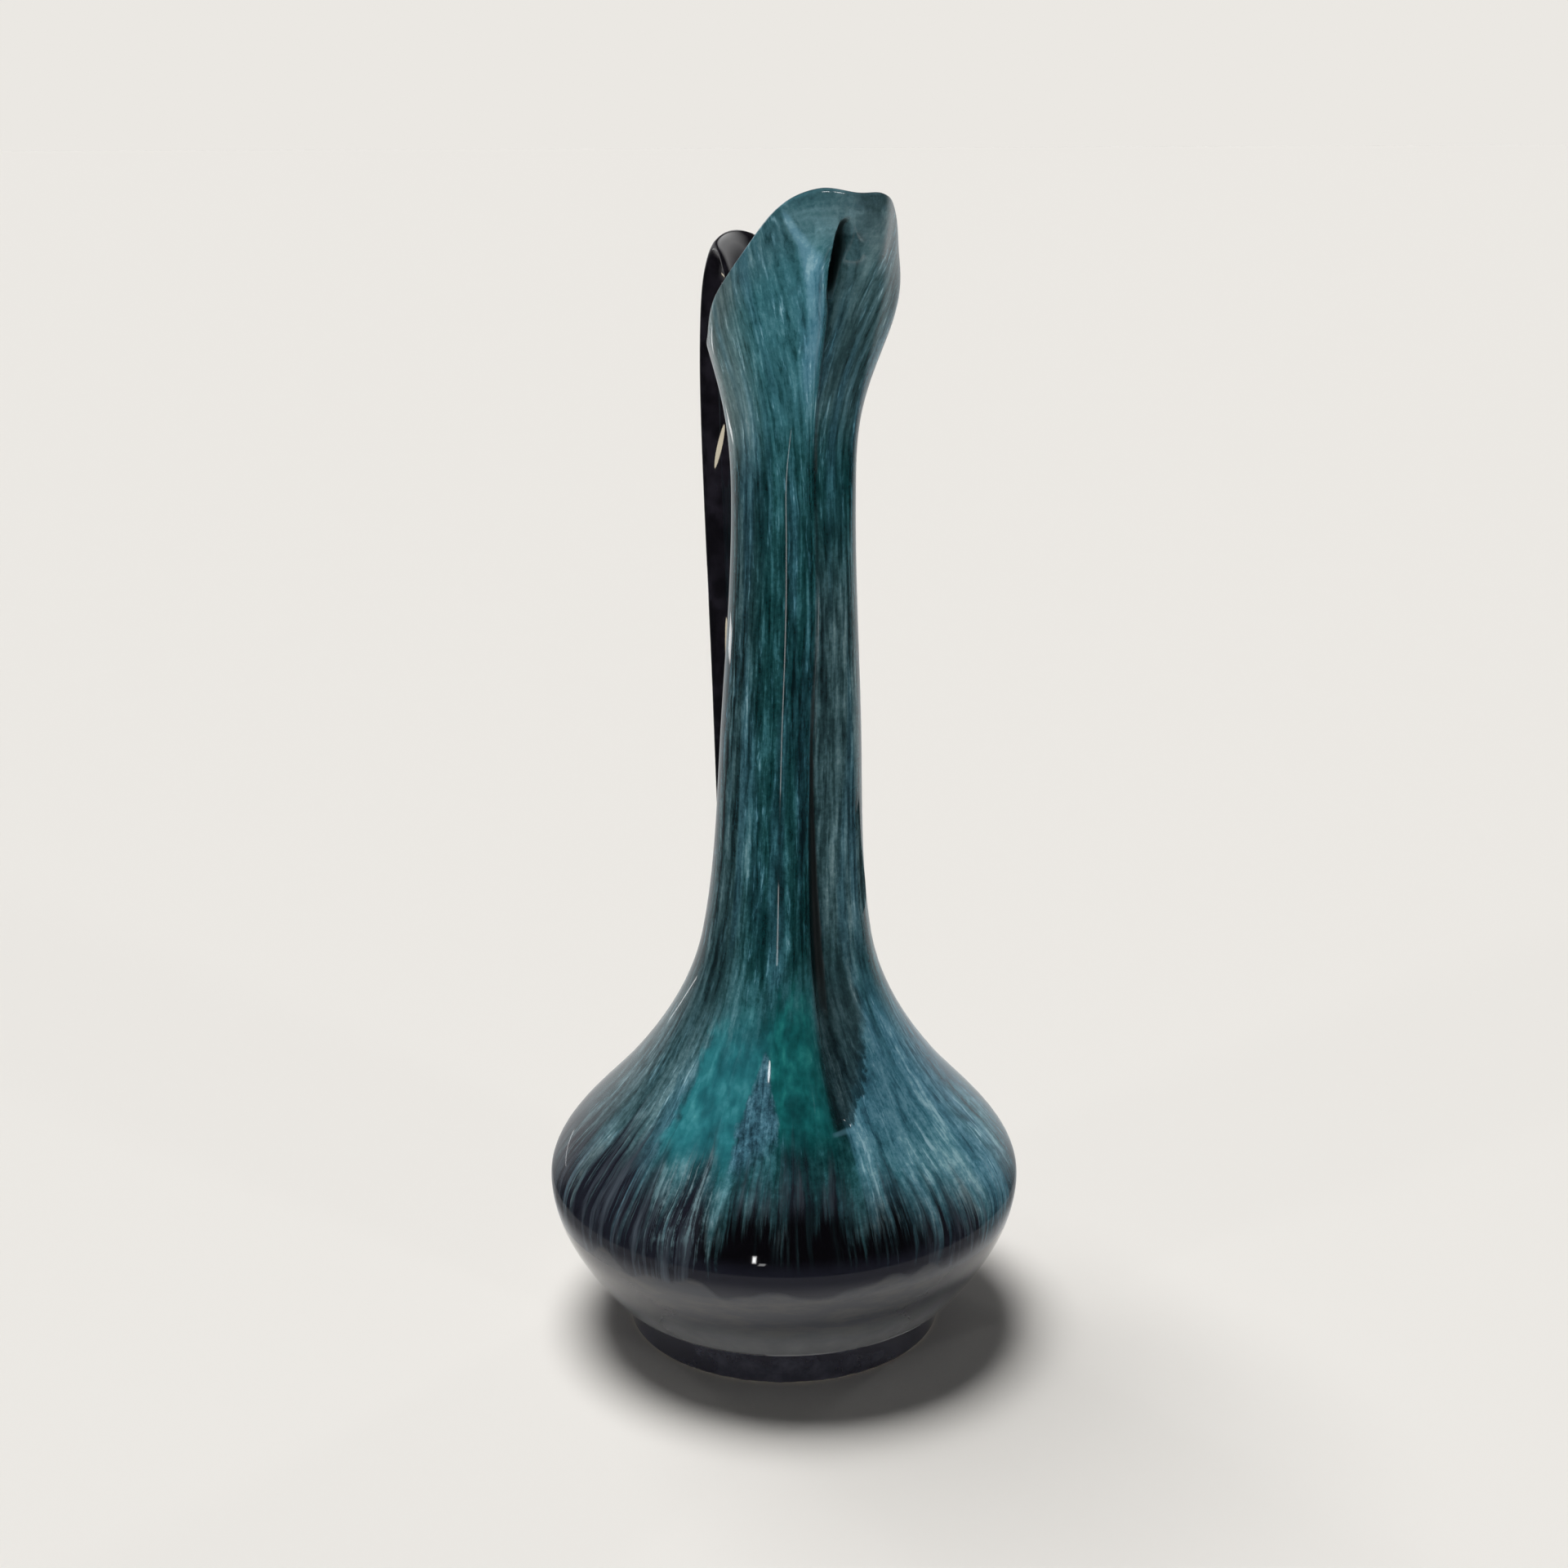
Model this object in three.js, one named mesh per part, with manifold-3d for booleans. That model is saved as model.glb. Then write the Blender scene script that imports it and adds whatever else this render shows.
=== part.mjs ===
// Pitcher vase: a slim glazed ewer with a squat bulb, a long creased neck, a pinched and flared
// spout and a high strap handle. Millimetres, +Z up, foot on z = 0, spout towards -Y, handle
// towards +Y, alike on both sides but for the small drift of a fold pinched by hand. The pot is
// built as it is luted: foot ring, bulb, neck, lip, handle, and the two collars of clay that seat
// the handle on the wall.
import * as THREE from "three";
import { mergeVertices } from "three/addons/utils/BufferGeometryUtils.js";
import Module from "manifold-3d";

const wasm = await Module();
wasm.setup();

// Foot ring
const FOOT_HEIGHT = 11.8;
const FOOT_BASE_RADIUS = 45.2;
const FOOT_TOP_RADIUS = 48.8;
const FOOT_RING_WIDTH = 6.4;
const FOOT_EDGE_ROUND = 0.9;
const FOOT_WAIST = 0.35;

// Bulb: radii, heights above the foot ring, and the slopes of its profile
const BODY_BASE_RADIUS = 51.2;
const BODY_BASE_SLOPE = 0.856;
const BODY_BASE_ROUND = 0.8;
const BELLY_RADIUS = 67.3;
const BELLY_RISE = 33.4;
const SHOULDER_RADIUS = 45;
const SHOULDER_RISE = 64.5;
const SHOULDER_SLOPE = -0.831;
const BODY_HEIGHT = 106;
const BODY_WALL = 4.2;
const BODY_FLOOR = 5;
const FLOOR_COVE = 4.2;
const FLOOR_CORNER = 12.6;
const UNDERSIDE_DROP = 4.6;

// Neck: radii, and heights above the bulb
const NECK_BASE_RADIUS = 23.7;
const NECK_BASE_SLOPE = -0.179;
const NECK_MIDDLE_RADIUS = 19.4;
const NECK_MIDDLE_RISE = 54;
const NECK_MIDDLE_SLOPE = -0.041;
const NECK_TOP_RADIUS = 16.5;
const NECK_LENGTH = 122;
const NECK_WALL = 3.6;
const NECK_LEAN = 7;

// Lip: reach from the neck's centre and drop below the lip's top, at angles round from the spout
const LIP_HEIGHT = 79.8;
const LIP_TIP = { angle: 3, reach: 39.5, drop: 1.2 };
const LIP_BROW = { angle: 12, reach: 38.4, drop: 0 };
const LIP_RIGHT_BROW = { angle: 14, reach: 38, drop: 1.4 };
const LIP_CORNER = { angle: 28, reach: 32.7, drop: 4.6 };
const LIP_CHEEK = { angle: 46, reach: 28.6, drop: 14.4 };
const LIP_WING = { angle: 68, reach: 27, drop: 26 };
const LIP_FLANK = { angle: 92, reach: 23.4, drop: 37 };
const LIP_BACK = { angle: 180, reach: 18.4, drop: 51 };
const LIP_WALL = 2.8;
const RIM_CROWN = 0.9;
const TIP_FLARE = 1.15;
const WING_FLARE = 1.75;
const BACK_FLARE = 2.3;
const WING_WRAP = 50;

// Crease: at each station the depth and half width of the fold and its drift to one side, with
// heights above the foot (rise), above the bulb (climb) or below the lip's top (drop)
const CREASE_END = { rise: 63.5, width: 4.5 };
const CREASE_POOL = { rise: 74, depth: 4.6, width: 7.5, drift: 1.2 };
const CREASE_SHOULDER = { rise: 96, depth: 6, width: 10, drift: 2 };
const CREASE_NECK = { climb: 58, depth: 4.8, width: 8, drift: -0.4 };
const CREASE_WAIST = { climb: 104, depth: 2.8, width: 7.4, drift: 0.9 };
const CREASE_THROAT = { drop: 34, depth: 8.6, width: 8, drift: 1 };
const CREASE_LIP = { drop: 18, depth: 10, width: 7, drift: 0.8 };
const CREASE_BRIDGE = { drop: 6, width: 4.4 };
const CREASE_RIDGE = 0.16;

// Handle: its centre line's reach from the foot's axis at drops below the lip's top and a climb
// above the bulb, how deep it runs into the wall at each end, and the strap's full widths
const HANDLE_ROOT = { sink: 8, drop: 80.6 };
const HANDLE_SPRING = { reach: 23.2, drop: 28.8 };
const HANDLE_ARCH = { reach: 34.6, drop: 16.5 };
const HANDLE_BEND = { reach: 43.4, drop: 24 };
const HANDLE_ELBOW = { reach: 47.9, drop: 46 };
const HANDLE_MIDDLE = { reach: 41.3, climb: 66 };
const HANDLE_APPROACH = { clearance: 10.2, drop: 8 };
const HANDLE_LANDING = { sink: 7, rise: 78 };
const STRAP_TOP_WIDTH = 14.2;
const STRAP_FOOT_WIDTH = 12.6;
const STRAP_TOP_THICKNESS = 8.8;
const STRAP_FOOT_THICKNESS = 8.2;
const STRAP_CROWN = 1.25;

// Luting collars: how far each runs along the strap from its end, and how thick the clay is
const UPPER_COLLAR_LENGTH = 27;
const LOWER_COLLAR_LENGTH = 22;
const COLLAR_CLAY = 3;
const COLLAR_EDGE = 0.9;
const LUTE_GAP = 0.35;

// Facets: columns round the pot, those that follow the fold on each side of it, how many widths
// of the fold or how much of the radius they span, and rings and steps along each piece
const COLUMNS = 56;
const FOLD_COLUMNS = 9;
const FOLD_SPAN = 1.4;
const FRONT_SPAN = 0.42;
const BULB_LOWER_RINGS = 10;
const BULB_UPPER_RINGS = 10;
const BULB_INNER_RINGS = 10;
const NECK_RINGS = 13;
const NECK_INNER_RINGS = 7;
const LIP_RINGS = 20;
const LIP_INNER_RINGS = 9;
const RIM_CROWDING = 1.35;
const CUTTER_RINGS = 40;
const STRAP_SIDES = 14;
const STRAP_STEPS = 40;
const STRAP_SAMPLES = 400;
const STRAP_BEND_WEIGHT = 0.35;
const COLLAR_STEPS = 8;
const WELD_DISTANCE = 1e-4;

// Levels that the pieces share
const BODY_TOP = FOOT_HEIGHT + BODY_HEIGHT;
const NECK_TOP = BODY_TOP + NECK_LENGTH;
const RIM_TOP = NECK_TOP + LIP_HEIGHT;

const clamp01 = (x) => Math.min(1, Math.max(0, x));
const smooth = (x) => clamp01(x) ** 2 * (3 - 2 * clamp01(x));
const degrees = (x) => (x * Math.PI) / 180;
const between = (from, to, share) => from + (to - from) * share;

// Even steps from one value to another, both included.
const steps = (from, to, count) => Array.from({ length: count + 1 }, (_, i) => between(from, to, i / count));

// A smooth line through knots [position, value, slope], level beyond its ends.
function hermite(knots, x) {
  const last = knots.length - 1;
  if (x <= knots[0][0]) return knots[0][1];
  if (x >= knots[last][0]) return knots[last][1];
  const k = knots.findIndex((knot) => knot[0] > x) - 1;
  const [x0, v0, s0] = knots[k];
  const [x1, v1, s1] = knots[k + 1];
  const h = x1 - x0;
  const t = (x - x0) / h;
  const a = v0 * (2 * t ** 3 - 3 * t ** 2 + 1) + v1 * (3 * t ** 2 - 2 * t ** 3);
  return a + h * s0 * (t ** 3 - 2 * t ** 2 + t) + h * s1 * (t ** 3 - t ** 2);
}

// Knots with the slopes that make a list of [position, value] one smooth line, level at its ends.
function faired(points) {
  return points.map(([x, v], i) => {
    if (i === 0 || i === points.length - 1) return [x, v, 0];
    const [x0, v0] = points[i - 1];
    const [x1, v1] = points[i + 1];
    return [x, v, (v1 - v0) / (x1 - x0)];
  });
}

const PROFILE = [
  [FOOT_HEIGHT, BODY_BASE_RADIUS, BODY_BASE_SLOPE],
  [FOOT_HEIGHT + BELLY_RISE, BELLY_RADIUS, 0],
  [FOOT_HEIGHT + SHOULDER_RISE, SHOULDER_RADIUS, SHOULDER_SLOPE],
  [BODY_TOP, NECK_BASE_RADIUS, NECK_BASE_SLOPE],
  [BODY_TOP + NECK_MIDDLE_RISE, NECK_MIDDLE_RADIUS, NECK_MIDDLE_SLOPE],
  [NECK_TOP, NECK_TOP_RADIUS, 0],
];

const sideStations = [LIP_CORNER, LIP_CHEEK, LIP_WING, LIP_FLANK, LIP_BACK];
const leftStations = [LIP_BROW, ...sideStations].map((s) => ({ ...s, angle: -s.angle }));
const rimStations = [...leftStations.reverse(), LIP_TIP, LIP_RIGHT_BROW, ...sideStations];
const RIM_REACH = faired(rimStations.map((s) => [degrees(s.angle), s.reach]));
const RIM_LEVEL = faired(rimStations.map((s) => [degrees(s.angle), RIM_TOP - s.drop]));

const creaseStations = [
  [FOOT_HEIGHT + CREASE_END.rise, CREASE_END],
  [FOOT_HEIGHT + CREASE_POOL.rise, CREASE_POOL],
  [FOOT_HEIGHT + CREASE_SHOULDER.rise, CREASE_SHOULDER],
  [BODY_TOP + CREASE_NECK.climb, CREASE_NECK],
  [BODY_TOP + CREASE_WAIST.climb, CREASE_WAIST],
  [RIM_TOP - CREASE_THROAT.drop, CREASE_THROAT],
  [RIM_TOP - CREASE_LIP.drop, CREASE_LIP],
  [RIM_TOP - CREASE_BRIDGE.drop, CREASE_BRIDGE],
];
const CREASE_DEPTH = faired(creaseStations.map(([z, s]) => [z, s.depth ?? 0]));
const CREASE_WIDTH = faired(creaseStations.map(([z, s]) => [z, s.width]));
const CREASE_DRIFT = faired(creaseStations.map(([z, s]) => [z, s.drift ?? 0]));

// How far the neck's centre stands forward of the foot's axis at a height.
function leanAt(z) {
  const start = FOOT_HEIGHT + BELLY_RISE;
  return NECK_LEAN * smooth((z - start) / (NECK_TOP - start));
}

// How far the fold presses the wall in: a V across the front, with softened ridges either side.
function creaseAt(phi, z, radius, spread) {
  const across = phi * radius - hermite(CREASE_DRIFT, z);
  const inside = 1 - Math.abs(across) / (hermite(CREASE_WIDTH, z) + spread);
  const fold = (inside + Math.hypot(inside, CREASE_RIDGE)) / 2;
  return hermite(CREASE_DEPTH, z) * fold;
}

// A point of the wall at an angle from the spout, pressed in or out by an inset.
function wallPoint(phi, z, radius, inset, spread) {
  const reach = radius - inset - creaseAt(phi, z, radius, spread);
  return new THREE.Vector3(reach * Math.sin(phi), -reach * Math.cos(phi) - leanAt(z), z);
}

// The angles of a ring's columns: those in front run with the fold and its ridges, and the rest
// spread evenly round the back.
function columnAngles(z, radius) {
  const half = COLUMNS / 2;
  const centre = hermite(CREASE_DRIFT, z) / radius;
  const span = Math.max((FOLD_SPAN * hermite(CREASE_WIDTH, z)) / radius, FRONT_SPAN);
  return Array.from({ length: COLUMNS }, (_, i) => {
    const count = Math.abs(i - half);
    const side = Math.sign(i - half);
    if (count <= FOLD_COLUMNS) return centre + (side * span * count) / FOLD_COLUMNS;
    const share = (count - FOLD_COLUMNS) / (half - FOLD_COLUMNS);
    return between(centre + side * span, side * Math.PI, share);
  });
}

// A ring of the bulb or neck at a height.
function turnedRing(z, inset, spread) {
  const radius = hermite(PROFILE, z);
  return columnAngles(z, radius).map((phi) => wallPoint(phi, z, radius, inset, spread));
}

// How far round the back an angle lies: 0 on the pouring side and 1 behind the wings.
const behind = (phi) => smooth((Math.abs(phi) - degrees(LIP_WING.angle)) / degrees(WING_WRAP));

// The level and the radius of the lip's wall at an angle: share 0 is the top of the neck and 1
// the rim, which rises and falls.
function lipAt(phi, share) {
  const level = between(NECK_TOP, hermite(RIM_LEVEL, phi), share);
  const sideways = smooth(Math.abs(phi) / degrees(LIP_WING.angle));
  const front = smooth(share ** between(TIP_FLARE, WING_FLARE, sideways));
  const flare = between(front, share ** BACK_FLARE, behind(phi));
  return [level, between(NECK_TOP_RADIUS, hermite(RIM_REACH, phi), flare)];
}

// A ring of the lip at a share of its height.
function lipRing(share, inset, spread, lift) {
  const [frontLevel, frontRadius] = lipAt(0, share);
  return columnAngles(frontLevel, frontRadius).map((phi) => {
    const [z, radius] = lipAt(phi, share);
    const point = wallPoint(phi, z, radius, inset, spread);
    return point.setZ(z + lift);
  });
}

// A plain ring about the foot's axis.
function plainRing(radius, z) {
  const around = (phi) => new THREE.Vector3(radius * Math.sin(phi), -radius * Math.cos(phi), z);
  return columnAngles(z, radius).map(around);
}

// A closed skin over rings of equal count. A ring of one point is a pole; with closed true the
// last ring joins the first, as on a tube with a bore.
function loft(rings, closed) {
  const positions = [];
  const starts = [];
  for (const ring of rings) {
    starts.push(positions.length / 3);
    for (const p of ring) positions.push(p.x, p.y, p.z);
  }
  const index = [];
  const spans = closed ? rings.length : rings.length - 1;
  for (let i = 0; i < spans; i += 1) {
    const low = rings[i];
    const high = rings[(i + 1) % rings.length];
    const a = starts[i];
    const b = starts[(i + 1) % rings.length];
    const count = Math.max(low.length, high.length);
    for (let j = 0; j < count; j += 1) {
      const k = (j + 1) % count;
      if (low.length === 1) index.push(a, b + k, b + j);
      else if (high.length === 1) index.push(a + j, a + k, b);
      else if (j < count / 2) index.push(a + j, a + k, b + j, a + k, b + k, b + j);
      else index.push(a + j, a + k, b + k, a + j, b + k, b + j);
    }
  }
  const geometry = new THREE.BufferGeometry();
  geometry.setAttribute("position", new THREE.Float32BufferAttribute(positions, 3));
  geometry.setIndex(index);
  return geometry;
}

const pole = (z) => [new THREE.Vector3(0, 0, z)];

// Shares of the lip's height, closer together towards the rim.
const lipShares = (count) => steps(1, 0, count).map((rest) => 1 - rest ** RIM_CROWDING);

function solidOf(geometry) {
  const merged = mergeVertices(geometry, WELD_DISTANCE);
  const mesh = { numProp: 3, vertProperties: merged.attributes.position.array };
  mesh.triVerts = new Uint32Array(merged.index.array);
  return new wasm.Manifold(new wasm.Mesh(mesh));
}

function geometryOf(solid) {
  const mesh = solid.getMesh();
  const geometry = new THREE.BufferGeometry();
  geometry.setAttribute("position", new THREE.BufferAttribute(mesh.vertProperties, 3));
  geometry.setIndex(new THREE.BufferAttribute(mesh.triVerts, 1));
  return geometry;
}

// Foot ring: a tapered ring with softened lower edges and a flat top that carries the bulb.
function footRing() {
  const inner = FOOT_BASE_RADIUS - FOOT_RING_WIDTH;
  const waist = (FOOT_BASE_RADIUS + FOOT_TOP_RADIUS) / 2 - FOOT_WAIST;
  const profile = [
    new THREE.Vector2(inner, FOOT_EDGE_ROUND),
    new THREE.Vector2(inner + FOOT_EDGE_ROUND, 0),
    new THREE.Vector2(FOOT_BASE_RADIUS - FOOT_EDGE_ROUND, 0),
    new THREE.Vector2(FOOT_BASE_RADIUS, FOOT_EDGE_ROUND),
    new THREE.Vector2(waist, FOOT_HEIGHT / 2),
    new THREE.Vector2(FOOT_TOP_RADIUS, FOOT_HEIGHT - FOOT_EDGE_ROUND),
    new THREE.Vector2(FOOT_TOP_RADIUS - FOOT_EDGE_ROUND, FOOT_HEIGHT),
    new THREE.Vector2(inner, FOOT_HEIGHT),
    new THREE.Vector2(inner, FOOT_EDGE_ROUND),
  ];
  const geometry = new THREE.LatheGeometry(profile, COLUMNS).rotateX(Math.PI / 2);
  geometry.deleteAttribute("normal");
  geometry.deleteAttribute("uv");
  return geometryOf(solidOf(geometry));
}

// Bulb: underside with its dropped centre, the turned wall up to the neck, and the cavity.
function bulb() {
  const seat = FOOT_BASE_RADIUS - FOOT_RING_WIDTH - LUTE_GAP;
  const floor = FOOT_HEIGHT + BODY_FLOOR;
  const pit = FOOT_HEIGHT + CREASE_END.rise;
  const wallAt = (z) => between(NECK_WALL, BODY_WALL, smooth((BODY_TOP - z) / BODY_HEIGHT));
  const levels = steps(FOOT_HEIGHT + BODY_BASE_ROUND, pit, BULB_LOWER_RINGS);
  levels.push(...steps(pit, BODY_TOP, BULB_UPPER_RINGS).slice(1));
  const innerLevels = steps(BODY_TOP, floor + FLOOR_COVE, BULB_INNER_RINGS);
  return loft([
    pole(FOOT_HEIGHT - UNDERSIDE_DROP),
    plainRing(seat - UNDERSIDE_DROP, FOOT_HEIGHT - UNDERSIDE_DROP),
    plainRing(seat, FOOT_HEIGHT),
    plainRing(BODY_BASE_RADIUS - BODY_BASE_ROUND, FOOT_HEIGHT),
    ...levels.map((z) => turnedRing(z, 0, 0)),
    ...innerLevels.map((z) => turnedRing(z, wallAt(z), BODY_WALL)),
    plainRing(BODY_BASE_RADIUS - FLOOR_CORNER, floor),
    pole(floor),
  ], false);
}

// Neck: a creased tube between the flat seams of the bulb and the lip.
function neck() {
  const outside = steps(BODY_TOP, NECK_TOP, NECK_RINGS).map((z) => turnedRing(z, 0, 0));
  const innerLevels = steps(NECK_TOP, BODY_TOP, NECK_INNER_RINGS);
  const inside = innerLevels.map((z) => turnedRing(z, NECK_WALL, BODY_WALL));
  return loft([...outside, ...inside], true);
}

// Spout and lip: the wall flares into two wings, and the fold runs up under a bridged pouring lip.
function spoutLip() {
  const wallAt = (share) => between(NECK_WALL, LIP_WALL, smooth(share));
  const outside = lipShares(LIP_RINGS).map((share) => lipRing(share, 0, 0, 0));
  const crown = lipRing(1, LIP_WALL / 2, LIP_WALL / 2, RIM_CROWN);
  const innerShares = lipShares(LIP_INNER_RINGS).reverse();
  const inside = innerShares.map((share) => lipRing(share, wallAt(share), LIP_WALL, 0));
  return loft([...outside, crown, ...inside], true);
}

// The whole outside of the pot, grown by a gap, to cut what is luted on to it.
function potCutter(gap) {
  const rings = [pole(FOOT_HEIGHT)];
  for (const z of steps(FOOT_HEIGHT, NECK_TOP, CUTTER_RINGS)) rings.push(turnedRing(z, -gap, 0));
  for (const share of lipShares(LIP_RINGS).slice(1)) rings.push(lipRing(share, -gap, 0, gap));
  rings.push(lipRing(1, LIP_WALL / 2, 0, RIM_CROWN + gap));
  rings.push([new THREE.Vector3(0, -leanAt(NECK_TOP), RIM_TOP - LIP_BACK.drop + RIM_CROWN + gap)]);
  return solidOf(loft(rings, false));
}

// How far the back of the wall of the bulb or neck stands from the foot's axis at a height.
const backWall = (z) => hermite(PROFILE, Math.min(z, NECK_TOP)) - leanAt(z);

// The strap's centre line, in the mirror plane: out of the back of the lip, over the arch, and
// down to the shoulder, where it runs into the wall.
function strapPath() {
  const rootLevel = RIM_TOP - HANDLE_ROOT.drop;
  const approachLevel = BODY_TOP - HANDLE_APPROACH.drop;
  const landLevel = FOOT_HEIGHT + HANDLE_LANDING.rise;
  const underRim = (station) => [station.reach, RIM_TOP - station.drop];
  const points = [
    [backWall(rootLevel) - HANDLE_ROOT.sink, rootLevel],
    underRim(HANDLE_SPRING),
    underRim(HANDLE_ARCH),
    underRim(HANDLE_BEND),
    underRim(HANDLE_ELBOW),
    [HANDLE_MIDDLE.reach, BODY_TOP + HANDLE_MIDDLE.climb],
    [backWall(approachLevel) + HANDLE_APPROACH.clearance, approachLevel],
    [backWall(landLevel) - HANDLE_LANDING.sink, landLevel - HANDLE_LANDING.sink],
  ];
  const path = points.map(([y, z]) => new THREE.Vector3(0, y, z));
  return new THREE.CatmullRomCurve3(path, false, "centripetal");
}

// A strap round the centre line at shares of its length, grown by extra(share).
function strap(shares, extra) {
  const path = strapPath();
  const rings = shares.map((share) => {
    const centre = path.getPointAt(share);
    const along = path.getTangentAt(share);
    const out = new THREE.Vector3(0, along.z, -along.y);
    const width = between(STRAP_TOP_WIDTH, STRAP_FOOT_WIDTH, smooth(share)) + 2 * extra(share);
    const thickness = between(STRAP_TOP_THICKNESS, STRAP_FOOT_THICKNESS, smooth(share)) + 2 * extra(share);
    return Array.from({ length: STRAP_SIDES }, (_, i) => {
      const turn = (2 * Math.PI * i) / STRAP_SIDES;
      const crown = Math.sign(Math.sin(turn)) * Math.abs(Math.sin(turn)) ** STRAP_CROWN;
      const point = centre.clone().addScaledVector(out, (crown * thickness) / 2);
      return point.setX((Math.cos(turn) * width) / 2);
    });
  });
  const start = [path.getPointAt(shares[0])];
  const end = [path.getPointAt(shares[shares.length - 1])];
  return solidOf(loft([start, ...rings, end], false));
}

const pot = potCutter(LUTE_GAP);
const strapLength = strapPath().getLength();

// Shares of the strap's length, close together where it bends.
function bendShares() {
  const path = strapPath();
  const samples = steps(0, 1, STRAP_SAMPLES);
  const weights = [0];
  for (let i = 1; i <= STRAP_SAMPLES; i += 1) {
    const bend = path.getTangentAt(samples[i - 1]).angleTo(path.getTangentAt(samples[i]));
    weights.push(weights[i - 1] + 1 / STRAP_SAMPLES + STRAP_BEND_WEIGHT * bend);
  }
  const inner = steps(0, weights[STRAP_SAMPLES], STRAP_STEPS).slice(1, -1);
  return [0, ...inner.map((weight) => samples[weights.findIndex((w) => w >= weight)]), 1];
}

const strapShares = bendShares();

// Handle: the strap between its two seats on the wall.
function handle() {
  return geometryOf(strap(strapShares, () => 0).subtract(pot));
}

// A collar of clay round the strap between two lengths along it, thickest at the first.
function collar(thick, thin) {
  const from = thick / strapLength;
  const to = thin / strapLength;
  const clay = (share) => between(COLLAR_EDGE, COLLAR_CLAY, smooth((share - to) / (from - to)));
  const shares = steps(Math.min(from, to), Math.max(from, to), COLLAR_STEPS);
  const bore = strap(strapShares, () => LUTE_GAP);
  return geometryOf(strap(shares, clay).subtract(bore).subtract(pot));
}

const glaze = {
  running: { color: 0x2c6c72, roughness: 0.12, metalness: 0 },
  dark: { color: 0x17151f, roughness: 0.1, metalness: 0 },
};

function piece(name, geometry, finish) {
  const mesh = new THREE.Mesh(geometry, new THREE.MeshStandardMaterial(finish));
  mesh.name = name;
  return mesh;
}

const upperCollar = collar(0, UPPER_COLLAR_LENGTH);
const lowerCollar = collar(strapLength, strapLength - LOWER_COLLAR_LENGTH);

const group = new THREE.Group();
group.add(piece("foot_ring", footRing(), glaze.dark));
group.add(piece("body", bulb(), glaze.running));
group.add(piece("neck", neck(), glaze.running));
group.add(piece("spout_lip", spoutLip(), glaze.running));
group.add(piece("handle", handle(), glaze.dark));
group.add(piece("upper_luting_collar", upperCollar, glaze.dark));
group.add(piece("lower_luting_collar", lowerCollar, glaze.dark));

export default group;
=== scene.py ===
"""Pitcher vase in running glaze, dressed for its portrait.

The pot is modelled as it is thrown and glazed: one turned wall whose front is pressed into a fold
from the pouring lip to the shoulder, a foot ring under it, and a strap handle luted to its back.
Sizes are in millimetres, and meshes are in metres.
"""

import logging
import math
from dataclasses import dataclass, field
from enum import Enum

import bpy
import numpy as np
from mathutils import Matrix, Quaternion, Vector


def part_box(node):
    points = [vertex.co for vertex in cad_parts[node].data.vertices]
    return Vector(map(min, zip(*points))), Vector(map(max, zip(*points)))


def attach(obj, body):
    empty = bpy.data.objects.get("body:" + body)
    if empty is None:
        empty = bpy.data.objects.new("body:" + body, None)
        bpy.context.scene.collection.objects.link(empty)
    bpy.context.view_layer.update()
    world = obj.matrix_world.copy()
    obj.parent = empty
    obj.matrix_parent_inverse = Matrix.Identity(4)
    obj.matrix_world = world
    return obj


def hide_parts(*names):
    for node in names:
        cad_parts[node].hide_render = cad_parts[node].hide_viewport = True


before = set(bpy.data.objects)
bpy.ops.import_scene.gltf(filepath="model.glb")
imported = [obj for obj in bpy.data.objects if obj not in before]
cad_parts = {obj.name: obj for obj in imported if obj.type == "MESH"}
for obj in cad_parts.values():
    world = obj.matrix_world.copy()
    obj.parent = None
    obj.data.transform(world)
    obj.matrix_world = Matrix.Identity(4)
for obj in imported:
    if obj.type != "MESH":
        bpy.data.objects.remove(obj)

MM = 0.001
WELD = 1e-6
BEYOND = 99.0
Array = np.ndarray
Colour = tuple[float, float, float]
Place = tuple[float, float, float]

log = logging.getLogger("pitcher_vase")


class Part(Enum):
    """The CAD nodes that the finished pieces stand for."""

    FOOT = "foot_ring"
    BODY = "body"
    NECK = "neck"
    LIP = "spout_lip"
    HANDLE = "handle"
    UPPER_COLLAR = "upper_luting_collar"
    LOWER_COLLAR = "lower_luting_collar"


class Slot(Enum):
    """The record's material slots."""

    RUNNING = "running_glaze"
    DARK = "dark_glaze"


def smooth(x: Array | float) -> Array:
    """Returns x eased from 0 to 1 between 0 and 1."""
    c = np.clip(x, 0.0, 1.0)
    return c * c * (3 - 2 * c)


def between(start: Array | float, end: Array | float, share: Array | float) -> Array:
    """Returns the value at a share of the way from start to end."""
    return start + (end - start) * share


def hermite(knots: Array, x: Array | float) -> Array:
    """Reads a smooth line through knots, level beyond its ends.

    Args:
        knots: Rows of position, value and slope, in order of position.
        x: Where to read the line.

    Returns:
        The line's values at x.
    """
    x = np.clip(x, knots[0, 0], knots[-1, 0])
    k = np.clip(np.searchsorted(knots[:, 0], x, side="right") - 1, 0, len(knots) - 2)
    x0, v0, s0 = knots[k].T
    x1, v1, s1 = knots[k + 1].T
    h = x1 - x0
    t = (x - x0) / h
    blend = 3 * t**2 - 2 * t**3
    rise = t**3 - 2 * t**2 + t
    fall = t**3 - t**2
    return v0 * (1 - blend) + v1 * blend + h * (s0 * rise + s1 * fall)


def faired(points: list[tuple[float, float]]) -> Array:
    """Makes one smooth line through points, level at its ends.

    Args:
        points: Pairs of position and value, in order of position.

    Returns:
        Knots for hermite.
    """
    rows = [(x, v, 0.0) for x, v in points]
    for i in range(1, len(points) - 1):
        (x0, v0), (x1, v1) = points[i - 1], points[i + 1]
        rows[i] = (*points[i], (v1 - v0) / (x1 - x0))
    return np.array(rows)


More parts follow.
